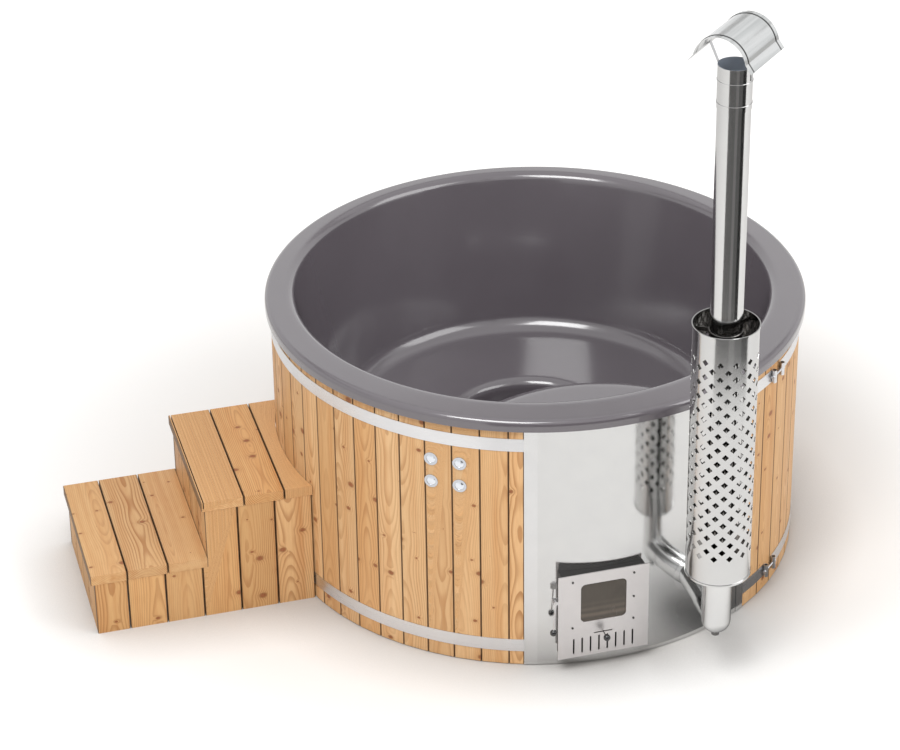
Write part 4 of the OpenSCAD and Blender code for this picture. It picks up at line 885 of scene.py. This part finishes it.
iron, tree, shader = new_surface("cast_iron", **{"Metallic": 0.85})
at = object_point(tree)
cast = grains(tree, at, 320.0, detail=4, rough=0.65)
ash = grains(tree, at, 18.0, detail=3)
feed(shader, "Base Color", blended(tree, spread(tree, 0.5, 0.75, ash, 0, 0.6),
                                   (0.045, 0.042, 0.04, 1), (0.22, 0.20, 0.18, 1)))
feed(shader, "Roughness", spread(tree, 0.3, 0.7, cast, 0.55, 0.85))
raised(shader, cast, 0.0008)
dress(iron, "fire_grate")

rope, tree, shader = new_surface("sealing_cord", **{"Roughness": 0.95})
twist = put(tree, "ShaderNodeTexWave", {
    "Vector": object_point(tree), "Scale": 160.0, "Distortion": 2.0},
    bands_direction="DIAGONAL").outputs["Fac"]
feed(shader, "Base Color", blended(tree, twist, (0.06, 0.058, 0.055, 1), (0.16, 0.155, 0.15, 1)))
raised(shader, twist, 0.0008)
dress(rope, "door_gasket")


# ---- The stove door ----
# A satin stainless plate with a ceramic-glass window, air slots and five screws that hold the
# glass frame behind it. It hangs on two pins at its right edge, hidden from in front.
dress(steel_surface("satin_door_steel", (0.66, 0.635, 0.63, 1), 0.30, 0.12, "sideways",
                    fine=0.00003), "door_plate")
dress(steel_surface("frame_steel", (0.20, 0.19, 0.185, 1), 0.40, 0.12, "sideways"),
      "glass_frame", "slider_rails", "door_knuckles", "hinge_brackets", "hinge_pins")
dress(steel_surface("screw_steel", (0.10, 0.098, 0.095, 1), 0.35, 0.1), "door_screws")

ceramic, tree, shader = new_surface("sooted_ceramic_glass", **{
    "Specular IOR Level": 0.3, "Coat Weight": 0.15, "Coat Roughness": 0.05})
at = object_point(tree)
soot = grains(tree, at, (9, 9, 6), detail=4, rough=0.6, twist=0.5)
logs = put(tree, "ShaderNodeTexWave", {"Vector": vector(tree, "MULTIPLY", at, (2.4, 0, 12)),
                                       "Scale": 1.0, "Distortion": 5.0, "Detail": 3.0},
           bands_direction="Z").outputs["Fac"]
logs_foot, logs_head = 0.18, 0.30
low_down = spread(tree, logs_head, logs_foot, axis_of(tree, at, 2), smooth=True)
log_share = value(tree, "MULTIPLY", logs, value(tree, "MULTIPLY", low_down, 0.7))
tone = blended(tree, soot, (0.045, 0.038, 0.031, 1), (0.105, 0.088, 0.070, 1))
feed(shader, "Base Color", blended(tree, log_share, tone, (0.19, 0.15, 0.12, 1)))
feed(shader, "Roughness", spread(tree, 0.4, 0.7, soot, 0.10, 0.35))
dress(ceramic, "door_glass")


# ---- The air control and the latch ----
# A steel slide behind the plate opens and shuts the air slots. It is moved with a ball knob. The
# latch is a bent lever with the same knob, turned up to open.
dress(steel_surface("slide_steel", (0.12, 0.115, 0.11, 1), 0.45, 0.12, "sideways"), "air_slider")
dress(steel_surface("lever_steel", (0.62, 0.61, 0.61, 1), 0.28, 0.1), "latch_lever",
      "latch_bracket")
ball, tree, shader = new_surface("phenolic_ball", **{"Coat Weight": 0.5, "Coat Roughness": 0.05})
tint = grains(tree, object_point(tree), 90.0)
feed(shader, "Base Color", blended(tree, tint, (0.009, 0.009, 0.010, 1),
                                   (0.020, 0.020, 0.022, 1)))
feed(shader, "Roughness", spread(tree, 0.3, 0.7, tint, 0.14, 0.24))
dress(ball, "air_knob", "latch_knob")


# ---- The chimney ----
# The outlet leaves the stove through a rosette in the panel and meets a tee with a plugged foot.
# Two lengths of polished stainless pipe stand on it, one pushed into the other.
shade_foot, shade_head, shade_brown = 1.02, 1.10, (0.07, 0.062, 0.055, 1)
collar_bore, painted_sky_grey = 0.0570, (0.50, 0.55, 0.63, 1)
bore_blur = 0.0002


# Painted shade: the lower pipe turns dark brown below the guard's top, where it stands inside the
# guard
def shaded_in_guard(tree, at):
    return [(spread(tree, shade_head, shade_foot, axis_of(tree, at, 2), 0, 0.85), shade_brown)]


def within(tree, at, bore, outside=0.0, inside=1.0):
    from_axis = vector(tree, "MULTIPLY", vector(tree, "SUBTRACT", at, chimney), (1, 1, 0))
    return spread(tree, bore + bore_blur, bore - bore_blur, vector(tree, "LENGTH", from_axis),
                  outside, inside)


def sky_painted_inside(tree, at):
    # Painted reflection: the collar's inside is made dull and pale grey-blue, standing in for the
    # sky it mirrors
    return [(within(tree, at, collar_bore), painted_sky_grey)]


def pipe_surface(name, shade=None):
    return steel_surface(name, (0.68, 0.68, 0.675, 1), 0.10, 0.04, "turned", fine=0.00002,
                         shade=shade)


dress(pipe_surface("polished_pipe_steel"), "flue_tee", "flue_outlet", "flue_pipe_upper",
      "flue_rosette")
dress(pipe_surface("guard_shaded_pipe_steel", shaded_in_guard), "flue_pipe_lower")
dress(steel_surface("plug_steel", (0.16, 0.155, 0.15, 1), 0.4, 0.1), "tee_plug")
collar_steel = pipe_surface("collar_steel", sky_painted_inside)
tree = collar_steel.node_tree
# Painted reflection: the inside is also made nearly non-metallic, so its pale colour shows
feed(tree.nodes["Principled BSDF"], "Metallic",
     within(tree, object_point(tree), collar_bore, 1.0, 0.15))
dress(collar_steel, "cap_collar")


# ---- The heat guard ----
# A pierced stainless tube around the lower pipe keeps hands off the hot steel. Its square holes
# stand on their corners, and two sheet clamps hold it to the pipe.
guard_bore = 0.1122


# Painted shade: the guard's inside, and its clamps within the tube's bore, are darkened
def painted_guard_inside_shade(tree, at):
    return [(within(tree, at, guard_bore, 0.0, 0.75), (0.09, 0.08, 0.07, 1))]


dress(steel_surface("guard_steel", (0.62, 0.62, 0.615, 1), 0.12, 0.05, "turned", wave=0.0006,
                    fine=0.00002, shade=painted_guard_inside_shade), "heat_guard", "guard_brackets")


# ---- The rain cowl ----
# A strip of stainless sheet is rolled to an arch with two turned-down eaves and a bead near each
# end. Two straps carry it on the collar of the chimney.
cowl_turn = math.radians(44)
cowl_bead = 0.1010


def cowl_painted_light(tree, at):
    there = vector(tree, "SUBTRACT", at, chimney)
    lengthways = vector(tree, "DOT_PRODUCT", there, (math.cos(cowl_turn), math.sin(cowl_turn), 0))
    across = vector(tree, "DOT_PRODUCT", there, (-math.sin(cowl_turn), math.cos(cowl_turn), 0))
    off_bead = value(tree, "ABSOLUTE", value(tree, "SUBTRACT", value(
        tree, "ABSOLUTE", lengthways), cowl_bead))
    rolled = point(tree, lengthways, across, axis_of(tree, at, 2))
    streak = grains(tree, rolled, (1.5, 38.0, 38.0))
    # Painted reflection: grey streaks along the arch; painted shade: a dark line at each bead
    return [(spread(tree, 0.45, 0.7, streak, 0, 0.55), (0.40, 0.42, 0.42, 1)),
            (spread(tree, 0.0046, 0.0026, off_bead, 0, 0.85), (0.06, 0.06, 0.058, 1))]


dress(steel_surface("cowl_steel", (0.74, 0.75, 0.75, 1), 0.13, 0.06, "turned", fine=0.00002,
                    shade=cowl_painted_light), "rain_cowl")
dress(steel_surface("strap_steel", (0.60, 0.60, 0.61, 1), 0.20, 0.06), "cowl_struts")


# ---- The buttons ----
# Four round chromed push buttons in the cladding switch air and light. Each sits in a turned
# ring, with its barrel pushed through a hole bored in the boards.
dress(steel_surface("ring_chrome", (0.58, 0.60, 0.64, 1), 0.13, 0.05, fine=0.00001),
      "button_bezels")
dress(steel_surface("button_chrome", (0.78, 0.82, 0.88, 1), 0.16, 0.06, fine=0.00001),
      "push_button_1", "push_button_2", "push_button_3", "push_button_4")


# ---- Water and drain ----
# Two pipes join the stove's jacket to the bath and end in slotted strainers. A plastic drain
# leaves at the back with a screwed cap.
dress(steel_surface("water_steel", (0.55, 0.55, 0.56, 1), 0.3, 0.1), "water_pipes",
      "water_strainers", "drain_strainer")
plastic, tree, shader = new_surface("drain_plastic", **{"Specular IOR Level": 0.45})
at = object_point(tree)
pebble = grains(tree, at, 700.0)
feed(shader, "Base Color", blended(tree, grains(tree, at, 30.0), (0.018, 0.018, 0.019, 1),
                                   (0.030, 0.030, 0.031, 1)))
feed(shader, "Roughness", spread(tree, 0.3, 0.7, pebble, 0.42, 0.58))
raised(shader, pebble, 0.0001)
dress(plastic, "drain_pipe", "drain_cap")


# ---- The steps ----
# Two boxes of oiled pine boards stand beside the tub as one flight. Boards are screwed to
# battens from inside, and the top tread's last board is sawn to the tub's curve.
step_pine = pine_surface("step_pine", pale=(0.720, 0.455, 0.225, 1),
                         warm=(0.650, 0.375, 0.155, 1), line=(0.370, 0.150, 0.044, 1),
                         line_strength=0.85)
upright, lying, sideways = (0, 0, 0), (math.radians(-90), 0, 0), (0, 0, math.pi / 2)
tread_front, tread_back, tread_thick = -0.303, 0.339, 0.038
tread_middle = (tread_front + tread_back) / 2
lower_left, upper_left = -1.7631, -1.3468
step_low, step_high = 0.250, 0.487
board_gap, board_edge = 0.004, 0.0022
tread_width, nose_width = 0.145, 0.131


def board_run(count, width, thick, length, first, pitch, turn, seed):
    return grown("board_run", board_tree, {
        "Count": count, "Width": width, "Thickness": thick, "Length": length,
        "Edge Radius": board_edge, "First": first, "Pitch": pitch, "Turn": turn, "Seed": seed,
        "Material": step_pine})


def tread_run(count, left, width, height, seed):
    return board_run(count, width, tread_thick, tread_back - tread_front,
                     (left + width / 2, tread_front, height - tread_thick / 2),
                     (width + board_gap, 0, 0), lying, seed)


def block_mesh(middle, size):
    shape = bmesh.new()
    bmesh.ops.create_cube(shape, size=1,
                          matrix=Matrix.Translation(middle) @ Matrix.Diagonal((*size, 1)))
    return as_mesh(shape, "block")


lower_tread = link_mesh("lower_tread", joined("lower_tread", [
    tread_run(1, lower_left, nose_width, step_low, 3),
    tread_run(2, lower_left + nose_width + board_gap, tread_width, step_low, 9)]))
softened(lower_tread.data)
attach(lower_tread, "steps")
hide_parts("step_tread_lower")

# The upper tread's first board has a groove along its nosing, and its last one is scribed
nosing, groove_depth, cut_length = 0.006, 0.026, 0.70
tread_scribe, scribe_sides = 0.9855, 360
first_width = nosing + board_gap + tread_width
upper_tread = link_mesh("upper_tread", joined("upper_tread", [
    tread_run(1, upper_left, first_width, step_high, 21),
    tread_run(2, upper_left + first_width + board_gap, tread_width, step_high, 14)]))
groove = block_mesh((upper_left + nosing + board_gap / 2, tread_middle, step_high),
                    (board_gap, cut_length, 2 * groove_depth))
drilled(upper_tread, [groove, rod_mesh(tread_scribe, (0, 0, 0.4), (0, 0, 0.55), scribe_sides)])
softened(upper_tread.data)
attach(upper_tread, "steps")
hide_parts("step_tread_upper")

# Side boards: the box under the upper tread is notched for the riser and scribed to the tub
side_thick, side_width, side_inset = 0.020, 0.134, 0.002
side_pitch = side_width + board_gap
side_scribe = 0.987
leg_low, leg_high = step_low - tread_thick, step_high - tread_thick
nose_x, lower_join = -1.7501, -1.3528
second_x = lower_join - 2 * side_pitch
narrow_width = second_x - board_gap - nose_x
walls = []
for number, y in enumerate((tread_front + side_inset + side_thick / 2,
                            tread_back - side_inset - side_thick / 2)):
    for count, left, width, height, seed in ((1, nose_x, narrow_width, leg_low, 31),
                                             (2, second_x, side_width, leg_low, 47),
                                             (3, lower_join, side_width, leg_high, 51)):
        walls.append(board_run(count, width, side_thick, height, (left + width / 2, y, 0),
                               (side_pitch, 0, 0), upright, seed + number))
side_boards = link_mesh("side_boards", joined("side_boards", walls))
riser_x = lower_join + 0.019
notch_play, notch_head = 0.002, 0.6
notch = block_mesh(((lower_join - notch_play + riser_x) / 2, tread_middle,
                    (leg_low + notch_head) / 2),
                   (riser_x - lower_join + notch_play, cut_length, notch_head - leg_low))
drilled(side_boards, [notch, rod_mesh(side_scribe, (0, 0, -0.01), (0, 0, 0.6), scribe_sides)])
softened(side_boards.data)
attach(side_boards, "steps")
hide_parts("step_side_boards")

riser_thick, riser_gap, riser_count = 0.020, 0.002, 4
riser_from = tread_front + side_thick + side_inset
riser_pitch = (tread_back - side_thick - side_inset - riser_from) / riser_count
risers = link_mesh("risers", joined("risers", [
    board_run(riser_count, riser_pitch - riser_gap, riser_thick, height,
              (x + riser_thick / 2, riser_from + riser_pitch / 2, foot), (0, riser_pitch, 0),
              sideways, seed)
    for x, foot, height, seed in ((nose_x, 0, leg_low, 61),
                                  (riser_x, leg_low, leg_high - leg_low, 71))]))
softened(risers.data)
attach(risers, "steps")
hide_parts("step_risers")
dress(steel_surface("tread_screw_steel", (0.55, 0.55, 0.56, 1), 0.35, 0.1), "step_screws")
